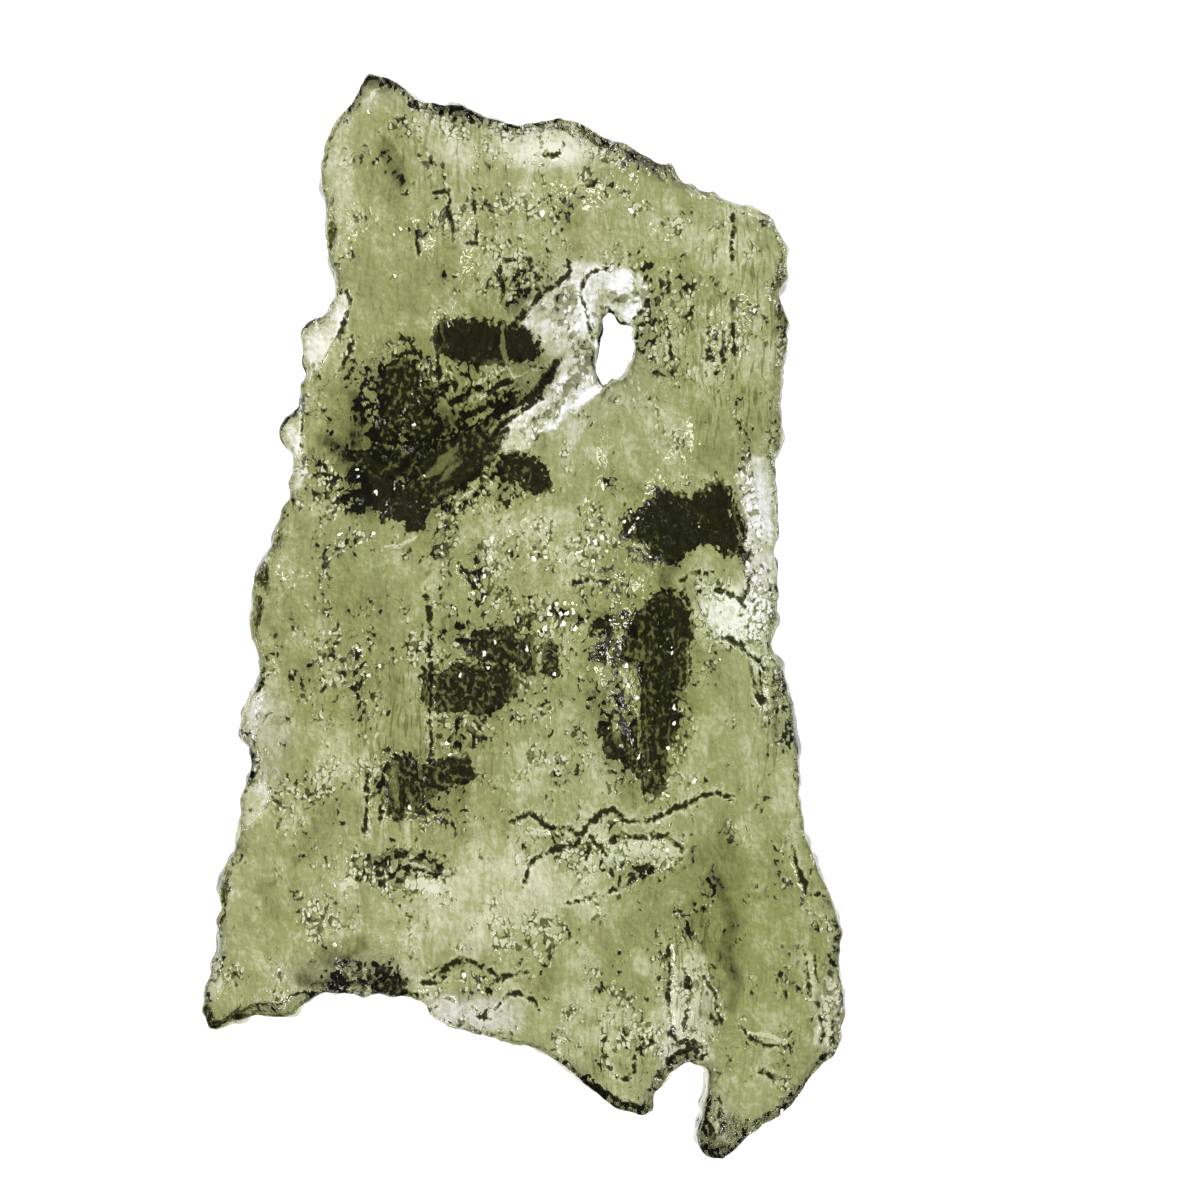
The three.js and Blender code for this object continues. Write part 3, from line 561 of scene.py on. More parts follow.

# Where the glass is painted lighter than its thickness makes it, or darker, when negative
CLEAR_AREAS = {
    "top_scoop": (530, 145, 95, 28, 0.2),
    "smooth_left": (388, 270, 60, 76, -0.04),
    "left": (330, 660, 60, 90, -0.04),
    "pane": (560, 350, 70, 90, -0.12),
    "flange": (765, 520, 22, 70, 0.08),
    "top_left_side": (342, 160, 16, 60, 0.12),
    "ridge": (405, 165, 18, 48, -0.08),
    "round_the_hollows": (410, 440, 100, 100, -0.26),
    "between_the_hollows": (408, 452, 50, 54, -0.2),
    "flow": (480, 390, 45, 35, 0.04),
    "left_of_streak": (330, 470, 30, 60, -0.1),
    "middle": (545, 540, 75, 42, 0.07),
    "low_middle": (510, 895, 92, 62, 0.17),
    "low_left_pane": (398, 915, 38, 42, 0.1),
    "lens": (642, 849, 38, 13, 0.35),
    "tongue_root": (716, 905, 28, 85, -0.14),
    "right_band": (642, 690, 48, 108, -0.16),
    "middle_hollow": (462, 690, 46, 58, -0.12),
    "low_hollow": (425, 782, 50, 36, -0.12),
    "striated": (690, 990, 22, 58, 0.25),
    "right_foot": (830, 1005, 14, 48, 0.3),
    "crackled": (735, 618, 45, 35, 0.28),
    "foot_edge": (345, 968, 48, 16, -0.16),
    "foot_lip": (475, 1012, 58, 20, 0.22),
    "left_middle": (345, 765, 32, 30, 0.08),
    "column": (730, 740, 32, 80, 0.05),
    "foot": (600, 1010, 50, 50, 0.05),
}

# Where a band along the broken rim is painted darker and greyer as shade, and has more grit: x, y, half
# width, half height, strength
RIM_BANDS = {
    "top": (480, 110, 110, 40, 1.0),
    "top_right": (640, 160, 90, 50, 0.9),
    "tip": (370, 90, 40, 40, 0.8),
    "foot": (610, 1090, 70, 60, 0.9),
    "tongue_tip": (715, 1130, 50, 50, 1.0),
    "right_low": (800, 1070, 70, 60, 0.8),
    "right_middle": (830, 940, 30, 80, 0.6),
    "notch": (690, 1060, 40, 40, 0.8),
    "low_left": (300, 980, 60, 40, 0.8),
    "foot_left": (200, 960, 50, 60, 0.6),
}

# Where folds of the glass run slanted, where they curl, and where they stand upright, and how they bend
FLOW_ALONG = np.array([0.8, -0.6])
FLOW_WIDTH, FLOW_LENGTH = 8.0, 50.0
FLOW_GAIN = 1.6
SLANTED_BENDS, CURLED_BENDS, UPRIGHT_BENDS = 0.9, 0.7, 0.5
SWIRL_MIDDLE = np.array([529.0, 291.0])
FLOW_AREAS = {
    "flow": (480, 395, 62, 48, 1.0),
    "streak": (440, 475, 80, 45, 0.9),
    "gouge": (560, 380, 40, 50, 0.6),
    "left": (335, 480, 40, 60, 0.5),
    "lens": (630, 855, 60, 26, 0.5),
}
SWIRL_AREAS = {
    "swirl": (525, 290, 48, 44, 1.0),
    "pane": (585, 300, 34, 44, 0.5),
}
UPRIGHT_AREAS = {
    "striated": (692, 985, 28, 66, 1.0),
    "right_foot": (822, 990, 24, 56, 1.0),
    "band": (622, 690, 34, 84, 0.8),
    "left": (392, 790, 36, 62, 0.7),
    "right_edge": (765, 700, 22, 66, 0.7),
    "upper_right": (715, 320, 50, 70, 0.5),
    "middle": (440, 690, 30, 70, 0.5),
    "foot": (640, 1040, 34, 30, 0.7),
}

# Where the glass looks grey instead of green
GREY_AREAS = {
    "foot_lip": (470, 1010, 60, 26, 0.9),
    "foot_edge": (350, 972, 70, 24, 0.8),
    "tip": (378, 88, 34, 26, 0.7),
    "top": (470, 110, 60, 20, 0.6),
    "striated": (692, 1000, 36, 46, 0.5),
    "right_foot": (830, 1005, 26, 50, 0.7),
    "tongue_tip": (712, 1120, 26, 40, 0.9),
    "notch": (685, 1052, 30, 22, 0.8),
    "pane": (570, 340, 90, 100, 0.5),
    "flange": (765, 530, 34, 90, 0.6),
    "left_edge": (265, 740, 30, 60, 0.6),
}

# Where upright scratches are dense: x, y, half width, half height, strength
SCRATCHED_AREAS = {
    "upper_right": (735, 330, 60, 130, 1.0),
    "upper_left": (440, 150, 60, 60, 0.7),
    "band": (650, 690, 50, 120, 0.9),
    "left": (400, 740, 50, 120, 0.9),
    "striated": (692, 985, 32, 85, 1.0),
    "right_foot": (828, 1000, 16, 60, 1.0),
    "right_edge": (770, 700, 25, 90, 0.8),
    "middle": (500, 700, 80, 110, 0.5),
    "foot": (620, 1040, 45, 50, 0.8),
}

# Clusters of tiny bright facets as chains of round blots: some facets there lean to catch the lamps, and
# grains there are painted bright as glints
SPARKLES = {
    "low_middle": [(503, 915, 9), (520, 922, 9), (545, 918, 11), (562, 930, 8)],
    "low_middle_foot": [(505, 936, 8), (540, 938, 10), (548, 955, 8)],
    "under_ledge": [(528, 828, 7), (545, 834, 8), (566, 834, 7)],
    "left": [(330, 640, 12), (338, 672, 12), (326, 682, 8)],
    "left_beside": [(358, 652, 7), (362, 690, 7)],
    "left_high": [(320, 472, 12), (330, 500, 10)],
    "left_hollow": [(362, 470, 9), (366, 495, 8)],
    "left_low": [(382, 764, 9), (300, 790, 10)],
    "column": [(417, 642, 10), (418, 660, 12)],
    "middle": [(485, 545, 9), (478, 598, 8)],
    "middle_high": [(535, 548, 9), (560, 560, 9), (596, 548, 14), (612, 545, 8)],
    "middle_row": [(555, 612, 10), (580, 612, 10), (552, 635, 9)],
    "arc": [(350, 878, 9), (362, 872, 9), (400, 870, 8)],
    "right_low": [(668, 768, 8), (700, 772, 10)],
    "foot": [(612, 978, 5), (626, 995, 6), (636, 1018, 6)],
    "foot_middle": [(465, 975, 8), (490, 982, 9)],
    "hole_right": [(648, 330, 12), (640, 268, 9)],
    "high": [(495, 212, 9), (505, 205, 7), (560, 215, 10)],
    "left_foot": [(305, 895, 8), (315, 915, 9), (320, 938, 7)],
    "left_foot_high": [(350, 880, 8), (342, 900, 5)],
    "pane": [(560, 297, 7), (588, 362, 8), (527, 430, 6)],
    "streak": [(425, 480, 5), (470, 502, 8), (440, 520, 6)],
    "band": [(640, 770, 8), (668, 720, 5), (628, 690, 6)],
    "high_left": [(350, 222, 9), (430, 232, 6)],
    "high_right": [(672, 225, 8), (585, 178, 5)],
    "left_below": [(345, 545, 10), (368, 535, 6)],
    "right": [(760, 610, 12), (745, 430, 8)],
}


def px(x, y):
    """The place on the stone, in metres from its middle, of a point of the photograph."""
    return ((x - STONE_MIDDLE_PX[0]) * PIXEL, (STONE_MIDDLE_PX[1] - y) * PIXEL)


def photo_points(points):
    """The photograph's pixels for places on the stone."""
    scale = STONE_LENGTH_PX / STONE_LENGTH
    return np.column_stack([
        points[:, 0] * scale + STONE_MIDDLE_PX[0],
        STONE_MIDDLE_PX[1] - points[:, 1] * scale])


# Smooth noise for the shapes that follow no rule

def hashed_gradients(cells_x, cells_y, seed):
    """One repeatable direction for each corner of a noise grid."""
    mixed = (cells_x * SCRAMBLE_X + cells_y * SCRAMBLE_Y + seed * SCRAMBLE_SEED) & SCRAMBLE_LARGEST
    mixed = ((mixed ^ (mixed >> 13)) * SCRAMBLE_AGAIN) & SCRAMBLE_LARGEST
    angle = (mixed ^ (mixed >> 16)) / SCRAMBLE_LARGEST * 2 * math.pi
    return np.cos(angle), np.sin(angle)


def noise(x, y, seed):
    """Perlin noise from about -0.7 to 0.7, one bump to each unit square."""
    cell_x, cell_y = np.floor(x).astype(np.int64), np.floor(y).astype(np.int64)
    in_x, in_y = x - cell_x, y - cell_y
    fade_x, fade_y = in_x * in_x * (3 - 2 * in_x), in_y * in_y * (3 - 2 * in_y)
    corners = []
    for step_y in (0, 1):
        for step_x in (0, 1):
            grad_x, grad_y = hashed_gradients(cell_x + step_x, cell_y + step_y, seed)
            corners.append(grad_x * (in_x - step_x) + grad_y * (in_y - step_y))
    low = corners[0] + fade_x * (corners[1] - corners[0])
    high = corners[2] + fade_x * (corners[3] - corners[2])
    return low + fade_y * (high - low)


def smoothstep(value, low, high):
    """0 below the low end, 1 above the high end, and a smooth rise between them."""
    share = np.clip((value - low) / (high - low), 0, 1)
    return share * share * (3 - 2 * share)


# Distances to the named places, in the photograph's pixels

def from_segment(points, start, end):
    """How far each point is from a straight stretch, and how far along it the nearest place lies."""
    start, end = np.array(start, float), np.array(end, float)
    way = end - start
    along = np.clip((points - start) @ way / max(way @ way, LEAST_SQUARE_PX), 0, 1)
    return np.hypot(*(points - start - along[:, None] * way).T), along


def from_line(points, line):
    """Distance to a line of straight stretches."""
    return np.min([from_segment(points, a, b)[0] for a, b in zip(line, line[1:])], axis=0)


def from_blots(points, chain):
    """Distance to the edge of a chain of round blots, below zero inside."""
    nearest = np.full(len(points), np.inf)
    for (ax, ay, a_radius), (bx, by, b_radius) in zip(chain, chain[1:]):
        distance, along = from_segment(points, (ax, ay), (bx, by))
        nearest = np.minimum(nearest, distance - a_radius - (b_radius - a_radius) * along)
    return nearest


def depth_inside(marks, chains):
    """How deep each point is inside the nearest of some chains of blots, below zero outside."""
    return np.max([-from_blots(marks, chain) for chain in chains.values()], axis=0)


def inside(points, loop):
    """Whether each point is inside the loop, by counting the sides to its right."""
    odd = np.zeros(len(points), bool)
    ends = np.roll(loop, -1, 0)
    for (ax, ay), (bx, by) in zip(loop, ends):
        spans = (ay > points[:, 1]) != (by > points[:, 1])
        if ay != by:
            crossing = ax + (points[:, 1] - ay) * (bx - ax) / (by - ay)
            odd ^= spans & (points[:, 0] < crossing)
    return odd


def from_outline(points, outline):
    """Distance to a closed outline, below zero inside."""
    loop = np.array(outline, float)
    distance = from_line(points, np.vstack([loop, loop[:1]]))
    return np.where(inside(points, loop), -distance, distance)


def oval_reach(points, area):
    """1 in the middle of an oval area, and 0 outside its soft border."""
    x, y, half_x, half_y = area[:4]
    reach = np.hypot((points[:, 0] - x) / half_x, (points[:, 1] - y) / half_y)
    return 1 - smoothstep(reach, *OVAL_BORDER)


def oval_strength(points, areas, start):
    """Strengths of oval areas. The strongest wins, and negative ones calm what is there."""
    strength = np.full(len(points), float(start))
    for area in sorted(areas.values(), key=lambda area: -area[4]):
        share, most = oval_reach(points, area), area[4]
        strength = np.maximum(strength, share * most) if most > 0 else strength * (1 + share * most)
    return strength


# The rim: the widest line round the solid, and round its hole

def merged_solid():
    """The solid with its loose triangles joined."""
    solid = bmesh.new()
    solid.from_mesh(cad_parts[STONE].data)
    bmesh.ops.remove_doubles(solid, verts=solid.verts, dist=MERGE_DISTANCE)
    solid.normal_update()
    return solid


def widest_loops(solid):
    """Closed chains of corners where the solid turns from facing up to facing down."""
    neighbours = {}
    for edge in solid.edges:
        up_and_down = [face.normal.z for face in edge.link_faces]
        if min(up_and_down) < 0 <= max(up_and_down):
            a, b = (tuple(vertex.co) for vertex in edge.verts)
            neighbours.setdefault(a, []).append(b)
            neighbours.setdefault(b, []).append(a)
    loops = []
    while neighbours:
        start = next(iter(neighbours))
        chain, here = [start], neighbours.pop(start)[0]
        while here != start:
            chain.append(here)
            ways = neighbours.pop(here)
            here = ways[0] if ways[0] != chain[-2] else ways[1]
        loops.append(np.array(chain)[:, :2])
    return sorted((loop for loop in loops if len(loop) >= FEWEST_RIM_CORNERS), key=len, reverse=True)


def signed_area(loop):
    """The area inside a loop, below zero when it runs clockwise."""
    x, y = loop[:, 0], loop[:, 1]
    return 0.5 * np.sum(x * np.roll(y, -1) - np.roll(x, -1) * y)


def even_loop(loop, step):
    """The loop with its corners rounded a little, in points an even step apart, counterclockwise."""
    if signed_area(loop) < 0:
        loop = loop[::-1]
    closed = np.vstack([loop, loop[:1]])
    along = np.concatenate([[0], np.cumsum(np.hypot(*np.diff(closed, axis=0).T))])
    count = int(along[-1] / step)
    at = np.arange(count) * along[-1] / count
    points = np.column_stack([np.interp(at, along, closed[:, axis]) for axis in (0, 1)])
    for _ in range(CORNER_ROUNDS):
        points = 0.5 * points + 0.25 * (np.roll(points, 1, 0) + np.roll(points, -1, 0))
    return points


def outward_of(loop):
    """The way out of the loop at each of its points."""
    side = np.roll(loop, -1, 0) - np.roll(loop, 1, 0)
    side /= np.hypot(side[:, 0], side[:, 1])[:, None]
    out = np.column_stack([side[:, 1], -side[:, 0]])
    for _ in range(OUTWARD_ROUNDS):
        out = (out + np.roll(out, 1, 0) + np.roll(out, -1, 0)) / 3
    return out / np.hypot(out[:, 0], out[:, 1])[:, None]


def chipped(rim):
    """The rim with small chips and bites out of it."""
    out = outward_of(rim)
    x, y = rim.T / CHIP_LENGTH
    fine = noise(FINE_CHIP_PITCH * x, FINE_CHIP_PITCH * y, SEEDS["fine chips"])
    chips = noise(x, y, SEEDS["chips"]) + FINE_CHIP_SHARE * fine
    return rim + out * (CHIP_DEPTH * (chips - CHIP_LEVEL))[:, None]


def tree_of(points):
    """A search tree for the nearest of some flat points."""
    tree = kdtree.KDTree(len(points))
    for index, (x, y) in enumerate(points):
        tree.insert((x, y, 0), index)
    tree.balance()
    return tree


def distances_to(tree, points):
    """How far each point is from the nearest one in the tree."""
    return np.array([tree.find((x, y, 0))[2] for x, y in points])


def bulge_of(rim, out):
    """How far the rim bulges past the two faces: less at tips, where the full bulge would fold over."""
    tree = tree_of(rim)
    full = np.full(len(rim), RIM_BULGE)
    for _ in range(BULGE_ROUNDS):
        away = distances_to(tree, rim - out * full[:, None])
        full = np.where(away < BULGE_ROOM * full, BULGE_SHRINK * full, full)
        full = np.minimum(full, (full + np.roll(full, 1) + np.roll(full, -1)) / 3)
    return full[:, None]


def rims_of(solid):
    """For each loop of the rim: its points, the ways out of the glass, and how far it bulges."""
    rims = []
    for number, loop in enumerate(widest_loops(solid)):
        rim = chipped(even_loop(loop, RIM_STEP))
        out = outward_of(rim) * (1 if number == 0 else -1)
        rims.append((rim, out, bulge_of(rim, out)))
    return rims


# The net that both faces are made of

def lattice(loops, spacing):
    """Points of a triangular lattice in the glass, clear of the rim."""
    low, high = loops[0].min(0), loops[0].max(0)
    row_height = spacing * math.sin(math.pi / 3)
    rows = np.arange(low[1], high[1], row_height)
    columns = np.arange(low[0], high[0], spacing)
    grid_x, grid_y = np.meshgrid(columns, rows)
    grid_x[1::2] += spacing / 2
    points = np.column_stack([grid_x.ravel(), grid_y.ravel()])
    points = points[inside(points, loops[0])]
    for hole in loops[1:]:
        points = points[~inside(points, hole)]
    away = distances_to(tree_of(np.vstack(loops)), points)
    return points[away > RIM_CLEARANCE * spacing]


def net(loops, spacing):
    """The points and triangles of one face. The loops' points come first."""
    points = np.vstack([*loops, lattice(loops, spacing)])
    sides = []
    first = 0
    for loop in loops:
        sides += [(first + k, first + (k + 1) % len(loop)) for k in range(len(loop))]
        first += len(loop)
    within_sides = 1
    made = delaunay_2d_cdt([Vector(p) for p in points / MM], sides, [], within_sides, NET_PRECISION_MM)
    if len(made[0]) != len(points):
        raise RuntimeError("the rim's loops cross themselves")
    triangles = np.array(made[2])
    middles = points[triangles].mean(1)
    for hole in loops[1:]:
        keep = ~inside(middles, hole)
        triangles, middles = triangles[keep], middles[keep]
    return points, triangles


def cast(tree, points, downwards):
    """The height of the solid's back, or of its belly, at each point."""
    start, way = (CAST_FROM, Vector((0, 0, -1))) if downwards else (-CAST_FROM, Vector((0, 0, 1)))
    heights = np.full(len(points), np.nan)
    for index, (x, y) in enumerate(points):
        hit = tree.ray_cast(Vector((x, y, start)), way)[0]
        if hit:
            heights[index] = hit.z
    heights[np.isnan(heights)] = np.nanmean(heights)
    return heights


class Smoother:
    """Evens out values on a net by its corners' neighbours, round after round."""

    def __init__(self, points, triangles):
        ends = np.vstack([triangles[:, [0, 1]], triangles[:, [1, 2]], triangles[:, [2, 0]]])
        sides = np.vstack([ends, ends[:, ::-1]])
        sides = sides[np.argsort(sides[:, 0], kind="stable")]
        self.count = len(points)
        self.here, self.there = sides[:, 0], sides[:, 1]
        self.neighbours = np.bincount(self.here, minlength=self.count)
        self.first_sides = np.concatenate([[0], np.cumsum(self.neighbours)[:-1]])
        self.lengths = np.hypot(*(points[self.here] - points[self.there]).T)

    def smoothed(self, values, rounds):
        """The values evened out."""
        for _ in range(rounds):
            total = np.bincount(self.here, weights=values[self.there], minlength=self.count)
            values = KEPT_SHARE * values + NEIGHBOURS_SHARE * total / self.neighbours
        return values

    def filled(self, heights, steepest):
        """The heights raised where they fall off more steeply than an angle."""
        fall = self.lengths * math.tan(steepest)
        for _ in range(EASING_ROUNDS):
            reached = np.maximum.reduceat(heights[self.there] - fall, self.first_sides)
            heights = np.maximum(heights, reached)
        return self.smoothed(heights, CREASE_ROUNDS)


# What etching and breaking did to the back

def with_panes(heights, floor, marks):
    """The back cut down to thin panes, and how much glass the banks round them have lost."""
    full = heights
    for thickness, soft, soft_upper_left, outline in PANES.values():
        border = from_outline(marks, outline)
        middle = np.mean(outline, axis=0)
        upper_left = smoothstep((middle - marks) @ UPPER_LEFT, *UPPER_LEFT_BORDER)
        wall = soft + (soft_upper_left - soft) * upper_left
        pane = floor + thickness * MM
        away = np.maximum(border - PANE_BANK_START, 0)
        bank = pane + PANE_STEP + away * PIXEL * PANE_BANK
        share = smoothstep(border, -wall / 2, wall / 2)
        heights = np.minimum(pane, heights) * (1 - share) + np.minimum(bank, heights) * share
        full = np.where(border < 0, heights, full)
    return heights, np.maximum(full - heights, 0)


def line_field(marks):
    """Distance to the edge of the nearest dark line, in pixels. Lines run to fine points."""
    field = np.full(len(marks), np.inf)
    wander = sum(
        swing * noise(marks[:, 0] / width, marks[:, 1] / width, seed)
        for swing, width, seed in LINE_WANDER)
    for half_width, line in LINES.values():
        ends = np.array([line[0], line[-1]], float)
        to_end = np.min([np.hypot(*(marks - end).T) for end in ends], axis=0)
        share = LINE_END_SHARE + (1 - LINE_END_SHARE) * smoothstep(to_end, 0, LINE_END_REACH)
        field = np.minimum(field, from_line(marks, line) - half_width * share + wander)
    return field


def line_grooves(marks, thickness):
    """How deep the dark lines are cut into the back."""
    grooves = 1 - smoothstep(line_field(marks), *LINE_GROOVE)
    return grooves * np.minimum(LINE_DEPTH, LINE_DEPTH_SHARE * thickness)


# What the finish reads from the skin

def clouds(marks, across, along, seed, layers=2):
    """Layered noise, from about -1 to 1, with patches of the given size in pixels."""
    total = np.zeros(len(marks))
    for layer in range(layers):
        scale = CLOUD_PITCH ** layer
        waves = noise(marks[:, 0] / across * scale, marks[:, 1] / along * scale, seed + layer)
        total += waves / CLOUD_FADE ** layer
    return total


def cloud(marks, name):
    """One of the named clouds."""
    return clouds(marks, *CLOUDS[name])


def plates(marks, width, seed):
    """Flat patches, each with its own value from -1 to 1, of about the given width in pixels."""
    low, high = marks.min(0), marks.max(0)
    columns, rows = (np.arange(low[axis] - width, high[axis] + width, width) for axis in (0, 1))
    grid_x, grid_y = (grid.ravel() for grid in np.meshgrid(columns, rows))
    numbers = np.arange(len(grid_x))
    shift_x, shift_y = hashed_gradients(numbers, numbers * 0, seed)
    reach = PLATE_SHIFT * width
    middles = tree_of(np.column_stack([grid_x + reach * shift_x, grid_y + reach * shift_y]))
    values = hashed_gradients(numbers, numbers * 0, seed + 1)[0]
    wander = np.column_stack([clouds(marks, width, width, seed + 2), clouds(marks, width, width, seed + 4)])
    return values[[middles.find((x, y, 0))[1] for x, y in marks + PLATE_WANDER * width * wander]]


def flow_lines(marks):
    """Folds of the glass, from about -1 to 1: slanted, curled round the swirl, or upright."""
    along, across = marks @ FLOW_ALONG, marks @ np.array([-FLOW_ALONG[1], FLOW_ALONG[0]])
    bends = cloud(marks, "fold bends")
    slanted = noise(
        across / FLOW_WIDTH + SLANTED_BENDS * bends, along / FLOW_LENGTH, SEEDS["slanted folds"])
    x, y = (marks - SWIRL_MIDDLE).T
    curled = noise(
        np.hypot(x, y) / FLOW_WIDTH + CURLED_BENDS * bends, np.arctan2(y, x), SEEDS["curled folds"])
    x, y = marks.T
    upright = noise(x / FLOW_WIDTH + UPRIGHT_BENDS * bends, y / FLOW_LENGTH, SEEDS["upright folds"])
    kinds = ((slanted, FLOW_AREAS), (curled, SWIRL_AREAS), (upright, UPRIGHT_AREAS))
    return FLOW_GAIN * sum(folds * oval_strength(marks, areas, 0) for folds, areas in kinds)


def grain_places(marks):
    """Where the grain of the skin is read, in millimetres: a little drawn out upright."""
    warp = np.column_stack([cloud(marks, "grain warp x"), cloud(marks, "grain warp y")])
    return marks * (PIXEL / MM) * np.array([1, -GRAIN_STRETCH]) + warp * GRAIN_WARP


def clearness(marks, bent, folds, rim_band):
    """How clear the glass looks, from 0 to 1, before its dark patches and lines, with painted shadows and a
    rim band painted darker as shade.
    """
    clear = CLEARNESS + CLEARNESS_CLOUDS * cloud(marks, "clearness")
    clear = clear + CLEARNESS_FINE_CLOUDS * cloud(marks, "fine clearness")
    clear += sum(oval_reach(marks, area) * area[4] for area in CLEAR_AREAS.values())
    clear += sum(strength * plates(marks, width, seed) for width, strength, seed in PLATES)
    # Soft olive shadows, painted darker
    clear -= SHADOW_DEPTH * smoothstep(depth_inside(bent, SHADOWS), *SHADOW_BORDER)
    return clear + FOLD_CLEARNESS * folds - RIM_BAND_SHADE * rim_band


def glass_fields(marks, edges):
    """What the finish reads at each corner of the skin."""
    bent = marks + WANDER * np.column_stack([cloud(marks, "wander x"), cloud(marks, "wander y")])
    from_rim = distances_to(tree_of(photo_points(np.vstack(edges))), marks)
    # A band along the rim, painted darker and greyer as shade, with more grit
    ragged_rim = from_rim + RIM_BAND_WANDER * cloud(marks, "rim band")
    rim_band = 1 - smoothstep(ragged_rim, *RIM_BAND_BORDER)
    rim_band = rim_band * oval_strength(marks, RIM_BANDS, RIM_BAND_ELSEWHERE)
    rough = oval_strength(marks, ROUGH_AREAS, CALM_ROUGHNESS)
    folds = flow_lines(marks)
    # Dark patches painted near black as shade
    dark = np.maximum(-from_outline(bent, SMOOTH_PATCH), depth_inside(bent, PAINTED_DARK_PATCHES))
    to_the_left = (WARM_MIDDLE_X - marks[:, 0]) / WARM_REACH
    places = grain_places(marks)
    return {
        "dark": np.clip(dark / DARK_SOFTNESS, -1, 1),
        "line": np.clip(line_field(bent) / LINE_SOFTNESS, -1, 1),
        "rough": rough,
        "grit": rough + GRIT_OF_RIM_BAND * rim_band + GRIT_CLOUDS * cloud(marks, "grit"),
        "clear": clearness(marks, bent, folds, rim_band),
        "grey": np.maximum(rim_band, oval_strength(marks, GREY_AREAS, 0)),
        "flow": folds,
        "scratched": oval_strength(marks, SCRATCHED_AREAS, SCRATCHED_ELSEWHERE),
        "warm": smoothstep(cloud(marks, "warmth") * WARM_CLOUDS + to_the_left, *WARM_BORDER),
        "pale": np.clip(depth_inside(bent, PALE_SPOTS) / PALE_SOFTNESS, -1, 1),
        "sparkle": smoothstep(depth_inside(bent, SPARKLES), *SPARKLE_BORDER),
        "rim": 1 - smoothstep(from_rim, *RIM_LINE_BORDER),
        "grain_x": places[:, 0],
        "grain_y": places[:, 1],
    }


# The skin: the back, the belly, and the chipped walls between them

class Skin:
    """Corners and triangles, and for each corner its pixel, room for relief, wear and share of the back."""

    def __init__(self):
        self.places, self.faces = [], []
        self.marks, self.room, self.worn, self.side = [], [], [], []
        self.corners = 0

    def add_corners(self, places, marks, room, worn, side):
        """New corners, given back as their numbers."""
        count = len(places)
        self.places.append(places)
        self.marks.append(marks)
        for values, value in ((self.room, room), (self.worn, worn), (self.side, side)):
            values.append(np.full(count, value))
        self.corners += count
        return self.corners - count + np.arange(count)

    def add_face(self, face, triangles, side):
        """The back or the belly, given back as its corners' numbers."""
        places = np.column_stack([face.points, face.heights])
        numbers = self.add_corners(places, face.marks, face.thickness, face.worn, side)
        self.faces.append(triangles + numbers[0])
        return numbers

    def add_wall(self, rim, out, bulge, rings, levels):
        """Rows of corners from the back's ring down to the belly's. The pattern runs on down the wall."""
        top_ring, bottom_ring = rings
        top, bottom = levels
        rows = [top_ring]
        around = np.arange(len(rim)) * RIM_STEP / RIM_CHIP
        for row in range(1, RIM_ROWS):
            share = row / RIM_ROWS
            level = top + (bottom - top) * share
            dent = noise(around, level / RIM_CHIP + RIM_LOOPS_APART * top_ring[0], SEEDS["rim dents"])
            dent = (RIM_CHIP_DEPTH * math.sin(math.pi * share) * dent)[:, None]
            places = np.column_stack([rim - out * (bulge * (2 * share - 1) ** 2 + dent), level])
            marks = photo_points(rim + out * (top - level)[:, None])
            side = 1 - smoothstep(share, *WALL_FADE)
            rows.append(self.add_corners(places, marks, RIM_ROOM, 0.0, side))
        rows.append(bottom_ring)
        is_outer = top_ring[0] == 0
        for upper, lower in zip(rows, rows[1:]):
            next_upper, next_lower = np.roll(upper, -1), np.roll(lower, -1)
            quads = [
                np.column_stack([upper, lower, next_lower]),
                np.column_stack([upper, next_lower, next_upper])]
            self.faces += quads if is_outer else [quad[:, ::-1] for quad in quads]


def face_of_stone(tree, rims, edges, is_back):
    """The net of the back or the belly, with its heights, pixels, and the thickness and wear there."""
    rounds = BACK_SMOOTHING_ROUNDS if is_back else BELLY_SMOOTHING_ROUNDS
    points, triangles = net(edges, BACK_NET if is_back else BELLY_NET)
    smoother = Smoother(points, triangles)
    probes = points.copy()
    inner_rims = [rim - out * (bulge + RIM_PROBE) for rim, out, bulge in rims]
    probes[: sum(map(len, edges))] = np.vstack(inner_rims)
    top = smoother.filled(smoother.smoothed(cast(tree, probes, True), rounds), BACK_STEEPEST)
    floor = -smoother.filled(-smoother.smoothed(cast(tree, probes, False), rounds), BELLY_STEEPEST)
    marks = photo_points(points)
    heights, worn = with_panes(top, floor, marks)
    thickness = heights - floor
    if is_back:
        heights = heights - line_grooves(marks, thickness)
    else:
        heights, worn = floor, 0.0
    return SimpleNamespace(
        points=points, triangles=triangles, heights=heights, marks=marks, thickness=thickness, worn=worn)


def skin_mesh(points, faces, fields):
    """A mesh of the triangles, with the fields at its corners."""
    mesh = bpy.data.meshes.new(STONE + "_glass")
    mesh.vertices.add(len(points))
    mesh.vertices.foreach_set("co", points.astype(np.float32).ravel())
    mesh.loops.add(faces.size)
    mesh.loops.foreach_set("vertex_index", faces.astype(np.int32).ravel())
    mesh.polygons.add(len(faces))
    mesh.polygons.foreach_set("loop_start", np.arange(0, faces.size, 3, dtype=np.int32))
    mesh.polygons.foreach_set("loop_total", np.full(len(faces), 3, np.int32))
    mesh.update(calc_edges=True)
    mesh.validate()
    for name, values in fields.items():
        attribute = mesh.attributes.new(name, "FLOAT", "POINT")
        attribute.data.foreach_set("value", values.astype(np.float32))
    return mesh


